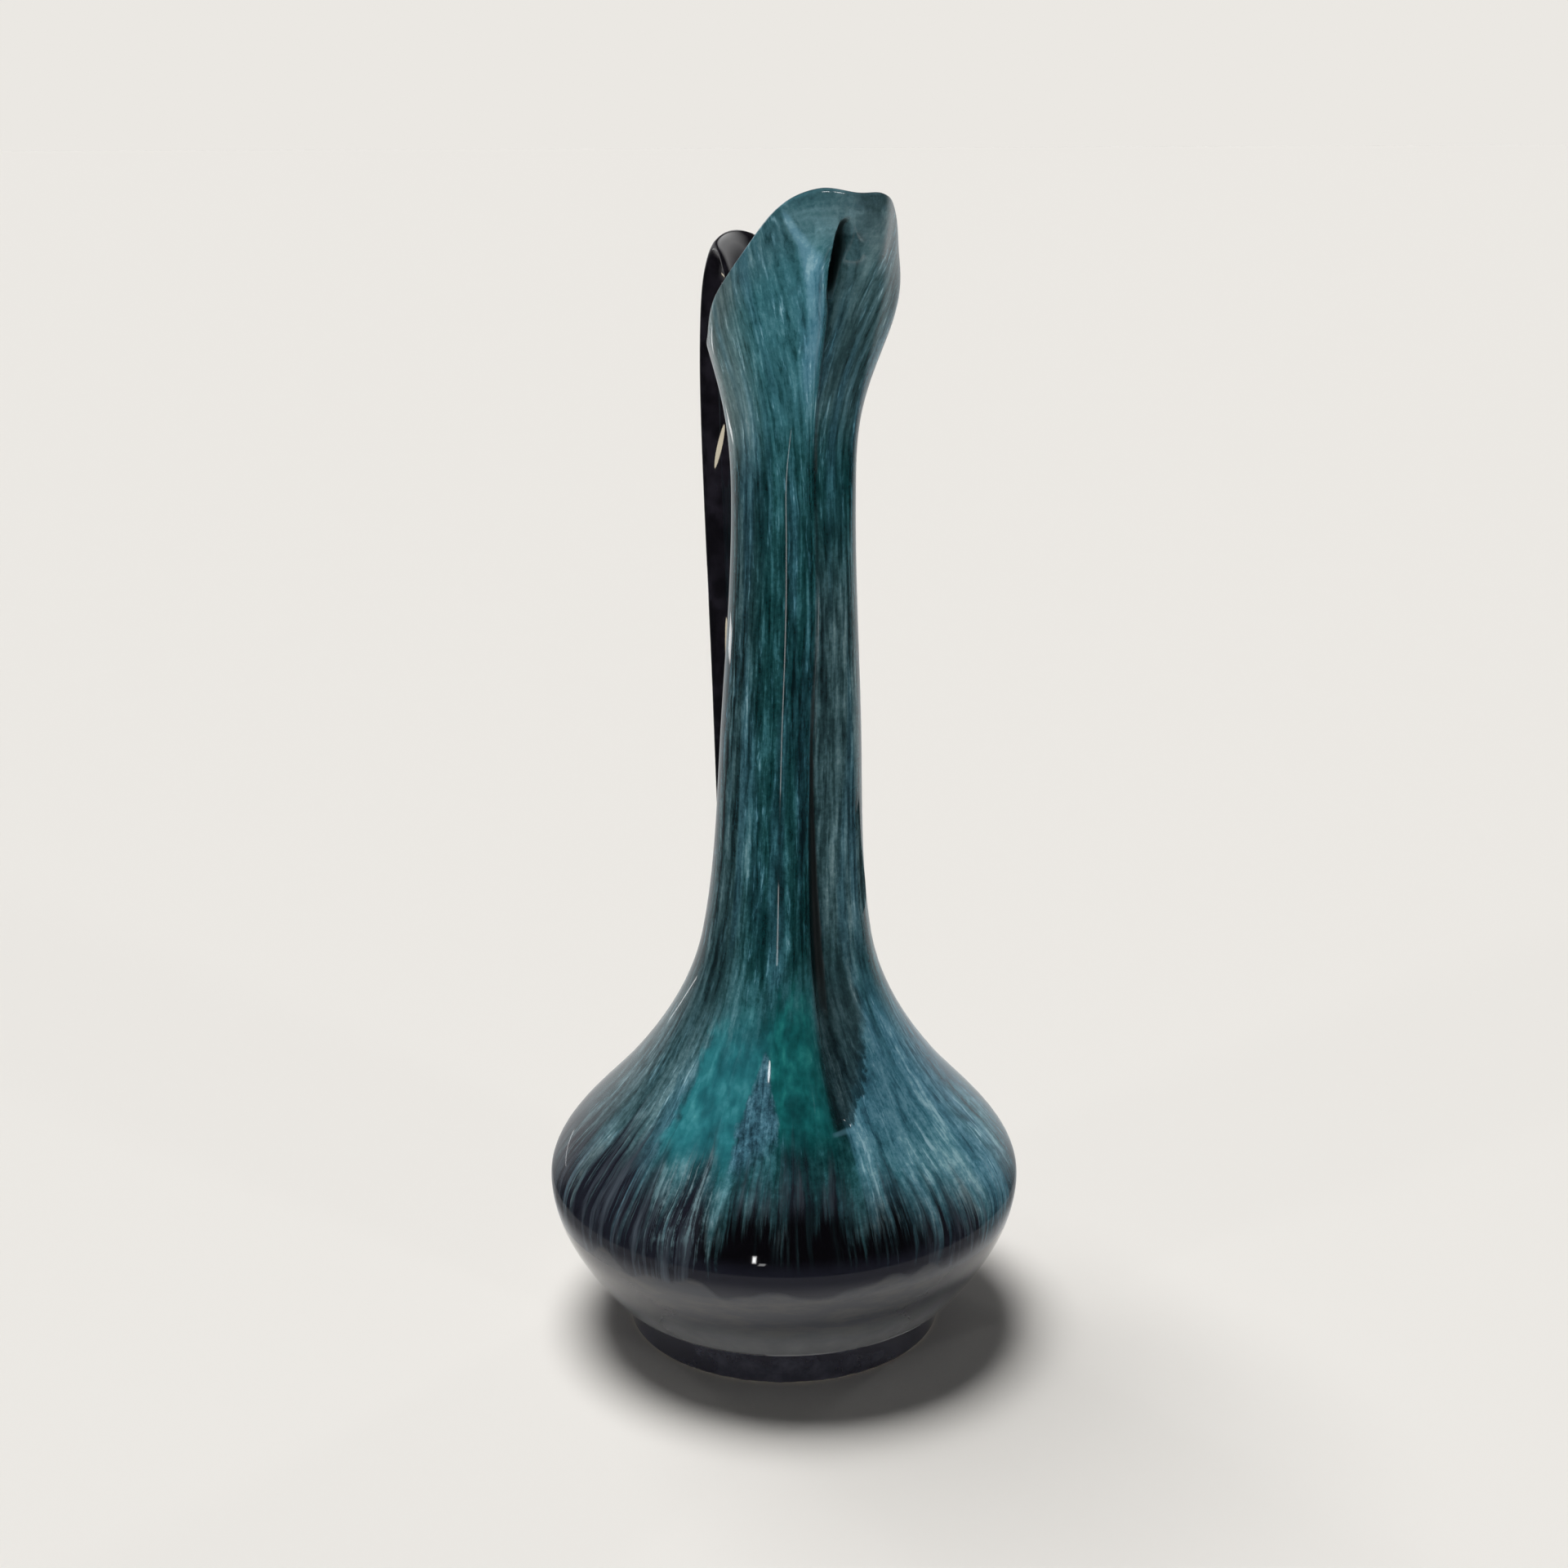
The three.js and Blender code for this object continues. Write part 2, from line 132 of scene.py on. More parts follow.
def polar(azimuth: float, elevation: float, reach: float) -> Vector:
    """Returns a point by its angles in degrees.

    Args:
        azimuth: The angle round from the spout.
        elevation: The angle up from the table.
        reach: How far away the point is.

    Returns:
        The point.
    """
    flat = math.cos(math.radians(elevation)) * reach
    x, y = math.sin(math.radians(azimuth)), -math.cos(math.radians(azimuth))
    return Vector((x * flat, y * flat, math.sin(math.radians(elevation)) * reach))


def around(reach: float, azimuth: float, height: float) -> Place:
    """Returns the point at a reach and an azimuth in degrees round from the spout, at a height."""
    turn = math.radians(azimuth)
    return reach * math.sin(turn), -reach * math.cos(turn), height


def sector(near: float, far: float, left: float, right: float, height: float) -> tuple[Place, ...]:
    """Returns the corners of a level sector between two reaches and two azimuths."""
    turns = ((near, left), (near, right), (far, right), (far, left))
    return tuple(around(reach, azimuth, height) for reach, azimuth in turns)


def upright(reach: float, left: float, right: float, low: float, top: float) -> tuple[Place, ...]:
    """Returns the corners of a standing panel between two azimuths and two heights."""
    turns = ((left, low), (right, low), (right, top), (left, top))
    return tuple(around(reach, azimuth, height) for azimuth, height in turns)


def add_object(name: str, data: bpy.types.ID) -> bpy.types.Object:
    """Adds an object to the scene.

    Args:
        name: The object's name.
        data: Its mesh, lamp or camera.

    Returns:
        The object.
    """
    obj = bpy.data.objects.new(name, data)
    bpy.context.scene.collection.objects.link(obj)
    return obj


def turn_to(obj: bpy.types.Object, turn: Quaternion) -> None:
    """Turns an object by a quaternion."""
    obj.rotation_mode = "QUATERNION"
    obj.rotation_quaternion = turn


def low_z(part: Part) -> float:
    """Returns a CAD node's lowest level, in millimetres."""
    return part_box(part.value)[0].z / MM


def top_z(part: Part) -> float:
    """Returns a CAD node's highest level, in millimetres."""
    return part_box(part.value)[1].z / MM


def outline_object(
    name: str, points: list[tuple[float, float]], marks: dict[str, list[float]]
) -> bpy.types.Object:
    """Makes a turned outline, ready to be spun about the Z axis.

    Args:
        name: The object's name.
        points: Radius and height of each point, in millimetres.
        marks: Values that each point carries, by attribute name.

    Returns:
        The new object, active and alone in the selection.
    """
    bpy.ops.object.select_all(action="DESELECT")
    mesh = bpy.data.meshes.new(name)
    edges = [(i, i + 1) for i in range(len(points) - 1)]
    mesh.from_pydata([(r * MM, 0, z * MM) for r, z in points], edges, [])
    for mark, values in marks.items():
        layer = mesh.attributes.new(mark, "FLOAT", "POINT")
        layer.data.foreach_set("value", np.array(values, np.float32))
    obj = add_object(name, mesh)
    bpy.context.view_layer.objects.active = obj
    obj.select_set(True)
    return obj


def spin_outline(obj: bpy.types.Object, columns: int) -> None:
    """Turns an outline once round the Z axis and closes its seam and poles.

    Args:
        obj: The outline's object, active and selected.
        columns: How many steps the turn has.
    """
    bpy.ops.object.mode_set(mode="EDIT")
    bpy.ops.mesh.select_all(action="SELECT")
    bpy.ops.mesh.spin(steps=columns, angle=2 * math.pi, center=(0, 0, 0), axis=(0, 0, 1))
    bpy.ops.mesh.select_all(action="SELECT")
    bpy.ops.mesh.remove_doubles(threshold=WELD)
    bpy.ops.mesh.normals_make_consistent(inside=False)
    bpy.ops.mesh.select_all(action="DESELECT")
    bpy.ops.object.mode_set(mode="OBJECT")


def points_of(mesh: bpy.types.Mesh) -> Array:
    """Reads a mesh's vertices.

    Args:
        mesh: The mesh.

    Returns:
        Their places in millimetres, a row each.
    """
    flat = np.zeros(len(mesh.vertices) * 3, np.float32)
    mesh.vertices.foreach_get("co", flat)
    return flat.reshape(-1, 3).astype(float) / MM


def set_points(mesh: bpy.types.Mesh, points: Array) -> None:
    """Moves a mesh's vertices to points in millimetres."""
    mesh.vertices.foreach_set("co", (points * MM).astype(np.float32).ravel())
    mesh.update()


def values_of(mesh: bpy.types.Mesh, name: str) -> Array:
    """Reads a float attribute.

    Args:
        mesh: The mesh.
        name: The attribute's name.

    Returns:
        Its values, one a vertex.
    """
    values = np.zeros(len(mesh.vertices), np.float32)
    mesh.attributes[name].data.foreach_get("value", values)
    return values.astype(float)


def set_vectors(mesh: bpy.types.Mesh, name: str, rows: Array) -> None:
    """Writes a vector attribute on a mesh's vertices.

    Args:
        mesh: The mesh.
        name: The attribute's name, which a material reads.
        rows: A vector for each vertex.
    """
    layer = mesh.attributes.new(name, "FLOAT_VECTOR", "POINT")
    layer.data.foreach_set("vector", rows.astype(np.float32).ravel())


def finish_piece(
    obj: bpy.types.Object, material: bpy.types.Material, parts: list[Part]
) -> None:
    """Dresses a piece and ties it to the frame.

    Args:
        obj: The finished mesh object.
        material: Its finish.
        parts: The CAD nodes that the piece stands for.
    """
    obj.data.materials.clear()
    obj.data.materials.append(material)
    obj.data.shade_smooth()
    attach(obj, "root")
    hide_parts(*[part.value for part in parts])
    names = ", ".join(part.value for part in parts)
    log.info("%s: %d faces, stands for %s", obj.name, len(obj.data.polygons), names)


@dataclass
class Graph:
    """A material's node tree, built from formulas."""

    tree: bpy.types.NodeTree

    def node(self, kind: str, **settings: object) -> bpy.types.Node:
        """Adds a node.

        Args:
            kind: The node's type.
            **settings: The node's settings, by name.

        Returns:
            The node.
        """
        made = self.tree.nodes.new(kind)
        for name, value in settings.items():
            setattr(made, name, value)
        return made

    def feed(self, socket: bpy.types.NodeSocket, value: object) -> None:
        """Links a field or another socket to an input, or sets its plain value.

        Args:
            socket: The input.
            value: A field, a socket, a number or a colour.
        """
        if isinstance(value, Field):
            value = value.socket
        if isinstance(value, bpy.types.NodeSocket):
            self.tree.links.new(value, socket)
        elif isinstance(value, tuple) and len(value) == 3 and socket.type == "RGBA":
            socket.default_value = (*value, 1.0)
        else:
            socket.default_value = value

    def math(self, operation: str, *values: object) -> "Field":
        """Adds a Math node.

        Args:
            operation: What it does.
            *values: The fields or numbers that it works on.

        Returns:
            The result.
        """
        made = self.node("ShaderNodeMath", operation=operation)
        for socket, value in zip(made.inputs, values):
            self.feed(socket, value)
        return Field(self, made.outputs[0])

    def vector(self, x: object, y: object, z: object) -> "Field":
        """Joins three fields or numbers.

        Args:
            x: The first part.
            y: The second part.
            z: The third part.

        Returns:
            The vector.
        """
        made = self.node("ShaderNodeCombineXYZ")
        for socket, value in zip(made.inputs, (x, y, z)):
            self.feed(socket, value)
        return Field(self, made.outputs[0])

    def attribute(self, name: str) -> tuple["Field", "Field", "Field"]:
        """Returns the three parts of a mesh's vector attribute."""
        made = self.node("ShaderNodeAttribute", attribute_name=name)
        return self.parts(made.outputs["Vector"])

    def parts(self, vector: object) -> tuple["Field", "Field", "Field"]:
        """Splits a vector.

        Args:
            vector: A field or a socket.

        Returns:
            Its three parts.
        """
        split = self.node("ShaderNodeSeparateXYZ")
        self.feed(split.inputs[0], vector)
        return tuple(Field(self, out) for out in split.outputs)

    def noise(
        self, vector: object, scale: float = 1.0, detail: float = 2.0, roughness: float = 0.5
    ) -> "Field":
        """Adds a noise.

        Args:
            vector: Where it is read.
            scale: How fine it is.
            detail: How many finer layers it has.
            roughness: How strong those layers are.

        Returns:
            Noise from 0 to 1, mostly near a half.
        """
        made = self.node("ShaderNodeTexNoise", noise_dimensions="3D")
        self.feed(made.inputs["Vector"], vector)
        self.feed(made.inputs["Scale"], scale)
        self.feed(made.inputs["Detail"], detail)
        self.feed(made.inputs["Roughness"], roughness)
        return Field(self, made.outputs[0])

    def mix(self, factor: object, first: object, second: object) -> "Field":
        """Mixes two colours.

        Args:
            factor: 0 for the first and 1 for the second.
            first: The first colour.
            second: The second colour.

        Returns:
            The colour between them.
        """
        made = self.node("ShaderNodeMix", data_type="RGBA", clamp_factor=True)
        self.feed(made.inputs[0], factor)
        self.feed(made.inputs[6], first)
        self.feed(made.inputs[7], second)
        return Field(self, made.outputs[2])

    def blend(self, factor: object, first: object, second: object) -> "Field":
        """Returns a value between two values."""
        return self.parts(self.mix(factor, first, second))[0]


@dataclass
class Field:
    """A value over the surface, which sums and scales as a number does."""

    graph: Graph
    socket: bpy.types.NodeSocket

    def __add__(self, other: object) -> "Field":
        """Returns the sum."""
        return self.graph.math("ADD", self, other)

    __radd__ = __add__

    def __sub__(self, other: object) -> "Field":
        """Returns the difference."""
        return self.graph.math("SUBTRACT", self, other)

    def __rsub__(self, other: object) -> "Field":
        """Returns a number less this field."""
        return self.graph.math("SUBTRACT", other, self)

    def __mul__(self, other: object) -> "Field":
        """Returns the product."""
        return self.graph.math("MULTIPLY", self, other)

    __rmul__ = __mul__

    def over(self, other: object) -> "Field":
        """Returns this field divided by another."""
        return self.graph.math("DIVIDE", self, other)

    def window(self, low: float, first: float, last: float, high: float) -> "Field":
        """Returns 1 from first to last, fading out softly to low and to high."""
        return self.rise(low, first) * self.rise(high, last)

    def rise(self, low: float, high: float) -> "Field":
        """Makes a soft step.

        Args:
            low: Where the step starts from 0.
            high: Where it reaches 1, which may also lie under low.

        Returns:
            The step, from 0 to 1.
        """
        made = self.graph.node("ShaderNodeMapRange", interpolation_type="SMOOTHSTEP")
        reverse = high < low
        self.graph.feed(made.inputs[0], self)
        self.graph.feed(made.inputs[1], min(low, high))
        self.graph.feed(made.inputs[2], max(low, high))
        self.graph.feed(made.inputs[3], 1.0 if reverse else 0.0)
        self.graph.feed(made.inputs[4], 0.0 if reverse else 1.0)
        return Field(self.graph, made.outputs[0])


def srgb(code: int) -> Colour:
    """Returns a hex colour as linear light."""
    parts = [((code >> shift) & 255) / 255 for shift in (16, 8, 0)]
    return tuple(c / 12.92 if c <= 0.04045 else ((c + 0.055) / 1.055) ** 2.4 for c in parts)


def new_material(name: str) -> tuple[bpy.types.Material, Graph, bpy.types.Node]:
    """Makes a node material.

    Args:
        name: The material's name.

    Returns:
        The material, its graph and its main shader.
    """
    material = bpy.data.materials.new(name)
    material.use_nodes = True
    shader = material.node_tree.nodes["Principled BSDF"]
    return material, Graph(material.node_tree), shader


def new_light_material(
    name: str,
) -> tuple[bpy.types.Material, Graph, bpy.types.Node, bpy.types.NodeSocket]:
    """Makes a material that only glows.

    Args:
        name: The material's name.

    Returns:
        The material, its graph, its glow and the socket that its surface goes to.
    """
    material, g, shader = new_material(name)
    g.tree.nodes.remove(shader)
    surface = g.tree.nodes["Material Output"].inputs["Surface"]
    return material, g, g.node("ShaderNodeEmission"), surface


@dataclass
class Pot:
    """The bulb, neck and pouring lip, one seamless wall."""

    columns: int = 176
    fold_share: float = 0.42
    fold_span: float = 1.4
    front_span: float = 0.42

    base_radius: float = 51.2
    base_slope: float = 0.856
    base_round: float = 0.8
    belly_radius: float = 67.3
    belly_rise: float = 33.4
    shoulder_radius: float = 45.0
    shoulder_rise: float = 64.5
    shoulder_slope: float = -0.831
    neck_base_radius: float = 23.7
    neck_base_slope: float = -0.179
    neck_middle_radius: float = 19.4
    neck_middle_rise: float = 54.0
    neck_middle_slope: float = -0.041
    neck_top_radius: float = 16.5
    lean: float = 7.0
    body_wall: float = 4.2
    neck_wall: float = 3.6
    lip_wall: float = 2.8
    rim_crown: float = 0.9
    floor_thickness: float = 5.0
    floor_cove: float = 4.2
    floor_corner: float = 12.6
    belly_rings: int = 34
    shoulder_rings: int = 76
    neck_rings: int = 100
    lip_rings: int = 96
    rim_rings: int = 9
    inner_rings: tuple[int, int, int] = (48, 48, 56)
    lip_crowding: float = 1.2
    under_run: float = 6.0
    floor_run: float = 8.0
    lip_slant: float = 0.1

    tip_flare: float = 1.15
    wing_flare: float = 1.75
    back_flare: float = 2.3
    wing_angle: float = 68.0
    wing_wrap: float = 50.0
    valley: float = 0.35
    crease_ridge: float = 0.16
    steep_side: float = 0.9
    flat_side: float = 1.3
    lip_side: float = 1.9
    side_blend: float = 6.0

    foot_top: float = field(default_factory=lambda: top_z(Part.FOOT))
    body_top: float = field(default_factory=lambda: top_z(Part.BODY))
    neck_top: float = field(default_factory=lambda: top_z(Part.NECK))
    underside: float = field(default_factory=lambda: low_z(Part.BODY))
    seat_radius: float = 38.45

    def __post_init__(self) -> None:
        """Works out the lines that the wall follows."""
        self.rim_top = top_z(Part.LIP) - self.rim_crown
        self.lip_height = self.rim_top - self.neck_top
        self.profile = np.array([
            (self.foot_top, self.base_radius, self.base_slope),
            (self.foot_top + self.belly_rise, self.belly_radius, 0.0),
            (self.foot_top + self.shoulder_rise, self.shoulder_radius, self.shoulder_slope),
            (self.body_top, self.neck_base_radius, self.neck_base_slope),
            (self.body_top + self.neck_middle_rise, self.neck_middle_radius, self.neck_middle_slope),
            (self.neck_top, self.neck_top_radius, 0.0),
        ])
        sides = [(28, 32.7, 4.6), (46, 28.6, 14.4), (68, 27.0, 26.0)]
        sides += [(92, 23.4, 37.0), (180, 18.4, 51.0)]
        left = [(-angle, reach, drop) for angle, reach, drop in [(12, 38.4, 0.15), *sides]]
        rim = [*reversed(left), (3, 39.5, 1.2), (14, 38.0, 1.4), *sides]
        self.rim_reach = faired([(math.radians(angle), reach) for angle, reach, _ in rim])
        self.rim_level = faired([(math.radians(angle), self.rim_top - drop) for angle, _, drop in rim])
        crease = [
            (self.foot_top + 60.5, 0.0, 4.5, 0.4),
            (self.foot_top + 66.0, 3.4, 5.0, 0.8),
            (self.foot_top + 76.0, 5.2, 7.5, 1.4),
            (self.foot_top + 96.0, 6.0, 10.0, 2.0),
            (self.body_top + 58.0, 3.6, 8.0, -0.4),
            (self.body_top + 104.0, 2.2, 7.4, 0.9),
            (self.rim_top - 34.0, 8.6, 8.0, 0.8),
            (self.rim_top - 18.0, 10.0, 7.0, -0.1),
            (self.rim_top - 6.0, 0.0, 4.4, -1.5),
        ]
        self.crease_depth = faired([(z, depth) for z, depth, _, _ in crease])
        self.crease_width = faired([(z, width) for z, _, width, _ in crease])
        self.crease_drift = faired([(z, drift) for z, _, _, drift in crease])
        slot = [
            (self.foot_top + 61.5, 0.0, 1.6),
            (self.foot_top + 66.0, 0.5, 2.0),
            (self.body_top - 16.0, 0.6, 1.8),
            (self.body_top + 30.0, 0.35, 1.2),
            (self.body_top + 90.0, 0.3, 1.0),
            (self.rim_top - 36.0, 0.3, 0.8),
            (self.rim_top - 26.0, 1.0, 0.8),
            (self.rim_top - 19.0, 4.6, 1.2),
            (self.rim_top - 11.0, 6.0, 1.9),
            (self.rim_top - 7.6, 4.4, 1.4),
            (self.rim_top - 5.6, 0.0, 1.2),
        ]
        self.slot_depth = faired([(z, depth) for z, depth, _ in slot])
        self.slot_width = faired([(z, width) for z, _, width in slot])

    def lean_at(self, z: Array) -> Array:
        """Returns how far the neck's centre stands forward at a height."""
        start = self.foot_top + self.belly_rise
        return self.lean * smooth((z - start) / (self.neck_top - start))

    def crease_at(self, across: Array, z: Array, spread: Array) -> Array:
        """Returns how far the fold presses the wall in.

        Args:
            across: Distance from the fold's line, along the wall.
            z: Height.
            spread: How much wider the fold is than outside.

        Returns:
            The depth of the fold and of the slot along its bottom.
        """
        soft = np.hypot(across, self.valley) - self.valley
        flat = between(self.flat_side, self.lip_side, smooth((z - self.neck_top + 10) / 30))
        uneven = between(self.steep_side, flat, smooth(across / self.side_blend + 0.5))
        inside = 1 - soft / (hermite(self.crease_width, z) * uneven + spread)
        fold = hermite(self.crease_depth, z) * (inside + np.hypot(inside, self.crease_ridge)) / 2
        slot = np.exp(-((across / (hermite(self.slot_width, z) + spread)) ** 4))
        return fold + hermite(self.slot_depth, z) * slot

    def lip_at(self, phi: Array, share: Array) -> tuple[Array, Array]:
        """Returns the level and radius of the lip's wall.

        Args:
            phi: Angle round from the spout.
            share: 0 at the top of the neck and 1 at the rim.

        Returns:
            The level and the radius, before the fold is pressed in.
        """
        level = between(self.neck_top, hermite(self.rim_level, phi), share)
        wing = math.radians(self.wing_angle)
        sideways = smooth(np.abs(phi) / wing)
        front = smooth(share ** between(self.tip_flare, self.wing_flare, sideways))
        behind = smooth((np.abs(phi) - wing) / math.radians(self.wing_wrap))
        flare = between(front, share**self.back_flare, behind)
        return level, between(self.neck_top_radius, hermite(self.rim_reach, phi), flare)

    def column_angles(self, turn: Array, z: Array, radius: Array) -> Array:
        """Crowds the even columns of a turn towards the fold.

        Args:
            turn: Even angle round from the spout, from -pi to pi.
            z: Height of the ring in front.
            radius: Radius of the ring in front.

        Returns:
            The angle that each column has.
        """
        centre = hermite(self.crease_drift, z) / radius
        span = np.maximum(self.fold_span * hermite(self.crease_width, z) / radius, self.front_span)
        share = np.abs(turn) / math.pi
        side = np.sign(turn)
        near = centre + side * span * share / self.fold_share
        rest = (share - self.fold_share) / (1 - self.fold_share)
        far = between(centre + side * span, side * math.pi, rest)
        return np.where(share <= self.fold_share, near, far)

    def outline(self) -> list[tuple[float, float, float, float]]:
        """Lists the wall's points, from above the foot over the rim to the floor inside.

        Returns:
            For each point its level, which runs on over the lip, its inset from the outer wall,
            how much wider the fold is there, and its lift over the rim.
        """
        rows: list[tuple[float, float, float, float]] = []

        def add(level: float, inset: float, spread: float, lift: float) -> None:
            """Adds a point of the wall."""
            rows.append((float(level), float(inset), float(spread), float(lift)))

        top = self.neck_top + self.lip_height
        belly = self.foot_top + self.belly_rise
        up_lip = 1 - np.linspace(1, 0, self.lip_rings)[1:] ** self.lip_crowding
        outer = [
            *np.linspace(self.foot_top + self.base_round, belly, self.belly_rings),
            *np.linspace(belly, self.body_top, self.shoulder_rings)[1:],
            *np.linspace(self.body_top, self.neck_top, self.neck_rings)[1:],
            *(self.neck_top + self.lip_height * up_lip),
        ]
        for level in outer:
            add(level, 0, 0, 0)
        for turn in np.linspace(0, math.pi, self.rim_rings)[1:-1]:
            inset = self.lip_wall / 2 * (1 - math.cos(turn))
            add(top, inset, inset, self.rim_crown * math.sin(turn))
        floor = self.foot_top + self.floor_thickness
        in_lip, in_neck, in_body = self.inner_rings
        inner = [
            *(self.neck_top + self.lip_height * (1 - np.linspace(0, 1, in_lip) ** self.lip_crowding)),
            *np.linspace(self.neck_top, self.body_top, in_neck)[1:],
            *np.linspace(self.body_top, floor + self.floor_cove, in_body)[1:],
        ]
        for level in inner:
            share = (level - self.neck_top) / self.lip_height
            down = smooth((self.body_top - level) / (self.body_top - self.foot_top))
            turned = between(self.neck_wall, self.body_wall, down)
            wall = between(self.neck_wall, self.lip_wall, smooth(share)) if share > 0 else turned
            add(level, wall, self.lip_wall if share > 0.5 else self.body_wall, 0)
        return rows

    def press(
        self, turn: Array, level: Array, inset: Array, spread: Array, lift: Array
    ) -> tuple[Array, Array, Array]:
        """Presses the turned wall into its final shape.

        Args:
            turn: Even angle round from the spout.
            level: Level of each point, which runs on over the lip.
            inset: How far the point lies inside the outer wall.
            spread: How much wider the fold is there than outside.
            lift: How far the point stands over the rim.

        Returns:
            The points, with their angle round from the spout and the wall's radius there.
        """
        share = np.clip((level - self.neck_top) / self.lip_height, 0, 1)
        front_z, front_radius = self.lip_at(np.zeros_like(level), share)
        low = level <= self.neck_top
        front_z = np.where(low, level, front_z)
        front_radius = np.where(low, hermite(self.profile, level), front_radius)
        phi = self.column_angles(turn, front_z, front_radius)
        lip_z, lip_radius = self.lip_at(phi, share)
        z = np.where(low, level, lip_z)
        radius = np.where(low, hermite(self.profile, level), lip_radius)
        across = phi * radius - hermite(self.crease_drift, z)
        reach = radius - inset - self.crease_at(across, z, spread)
        forward = reach * np.cos(phi) + self.lean_at(z)
        return np.stack([reach * np.sin(phi), -forward, z + lift], axis=1), phi, radius

    def run_down(self, reach: Array, heights: Array, crest: int) -> Array:
        """Measures how far down the wall the outline's points lie.

        Args:
            reach: Radius of each point.
            heights: Height of each point.
            crest: The number of the point at the rim.

        Returns:
            The way from the rim to each point, which is below 0 inside the mouth.
        """
        steps = np.hypot(np.diff(reach), np.diff(heights))
        run = np.concatenate([[0], np.cumsum(steps)])
        return run[crest] - run

    def build(self) -> bpy.types.Object:
        """Turns the wall, presses the fold and the lip, and marks how the glaze runs on it.

        Returns:
            The pot.
        """
        levels, insets, spreads, lifts = np.array(self.outline()).T
        flat = hermite(self.profile, levels) + np.maximum(levels - self.neck_top, 0) * self.lip_slant
        reach = flat - insets
        heights = levels + lifts
        run = self.run_down(reach, heights, int(np.argmax(insets > 0)) - 1)

        floor = self.foot_top + self.floor_thickness
        corner = self.base_radius - self.floor_corner
        under = [
            (0.0, self.underside),
            (self.seat_radius - self.foot_top + self.underside, self.underside),
            (self.seat_radius, self.foot_top),
            (self.base_radius - self.base_round, self.foot_top),
            (self.base_radius - self.base_round * 0.3, self.foot_top + self.base_round * 0.3),
        ]
        cove_start = reach[-1]
        cove = [
            (between(cove_start, corner, 1 - math.cos(t)), between(heights[-1], floor, math.sin(t)))
            for t in np.linspace(0, math.pi / 2, 9)[1:]
        ]
        inside = [*cove, (corner / 2, floor), (0.0, floor)]
        points = [*under, *zip(reach, heights), *inside]
        below, above = len(under), len(inside)
        marks = {"level": levels, "inset": insets, "spread": spreads, "lift": lifts}
        marks = {name: [*[0.0] * below, *values, *[0.0] * above] for name, values in marks.items()}
        marks["run"] = [*[run[0] + self.under_run] * below, *run, *[run[-1] - self.floor_run] * above]
        pot = outline_object("pot", points, marks)
        spin_outline(pot, self.columns)
        mesh = pot.data
        start = points_of(mesh)
        level, inset, spread, lift, run_at = (values_of(mesh, name) for name in marks)
        turn = np.arctan2(start[:, 0], -start[:, 1])
        pressed, phi, radius = self.press(turn, level, inset, spread, lift)
        wall = level > 0
        set_points(mesh, np.where(wall[:, None], pressed, start))
        phi = np.where(wall, phi, turn)
        set_vectors(mesh, "flow", np.stack([np.sin(phi), np.cos(phi), run_at], axis=1))
        radius = np.where(wall, radius, np.hypot(start[:, 0], start[:, 1]))
        drift = np.where(wall, hermite(self.crease_drift, pressed[:, 2]), 0)
        set_vectors(mesh, "fold", np.stack([radius, drift, np.zeros_like(drift)], axis=1))
        for name in marks:
            mesh.attributes.remove(mesh.attributes[name])
        return pot

    def back_wall(self, x: Array, z: Array) -> Array:
        """Returns how far back the outer wall stands at a place across and a height."""
        radius = hermite(self.profile, np.minimum(z, self.neck_top))
        return np.sqrt(np.maximum(radius**2 - x**2, 0)) - self.lean_at(z)


@dataclass
class FootRing:
    """The turned ring under the pot."""

    base_radius: float = 45.2
    top_radius: float = 48.8
    width: float = 6.4
    edge_round: float = 0.9
    waist: float = 0.35
    columns: int = 160
    round_steps: int = 6
    side_steps: int = 12
    height: float = field(default_factory=lambda: top_z(Part.FOOT))

    def build(self) -> bpy.types.Object:
        """Turns the ring with its softened edges.

        Returns:
            The foot ring.
        """
        inner = self.base_radius - self.width
        r = self.edge_round
        turns = np.linspace(0, math.pi / 2, self.round_steps)
        points = [(inner + r - r * math.sin(t), r - r * math.cos(t)) for t in turns[::-1]]
        points += [(self.base_radius - r + r * math.sin(t), r - r * math.cos(t)) for t in turns]
        for share in np.linspace(0, 1, self.side_steps)[1:-1]:
            hollow = self.waist * math.sin(math.pi * share)
            points.append((
                between(self.base_radius, self.top_radius, share) - hollow,
                between(r, self.height - r, share),
            ))
        shoulder, top = self.top_radius - r, self.height - r
        points += [(shoulder + r * math.cos(t), top + r * math.sin(t)) for t in turns]
        points += [(inner, self.height), points[0]]
        ring = outline_object("foot", points, {})
        spin_outline(ring, self.columns)
        return ring


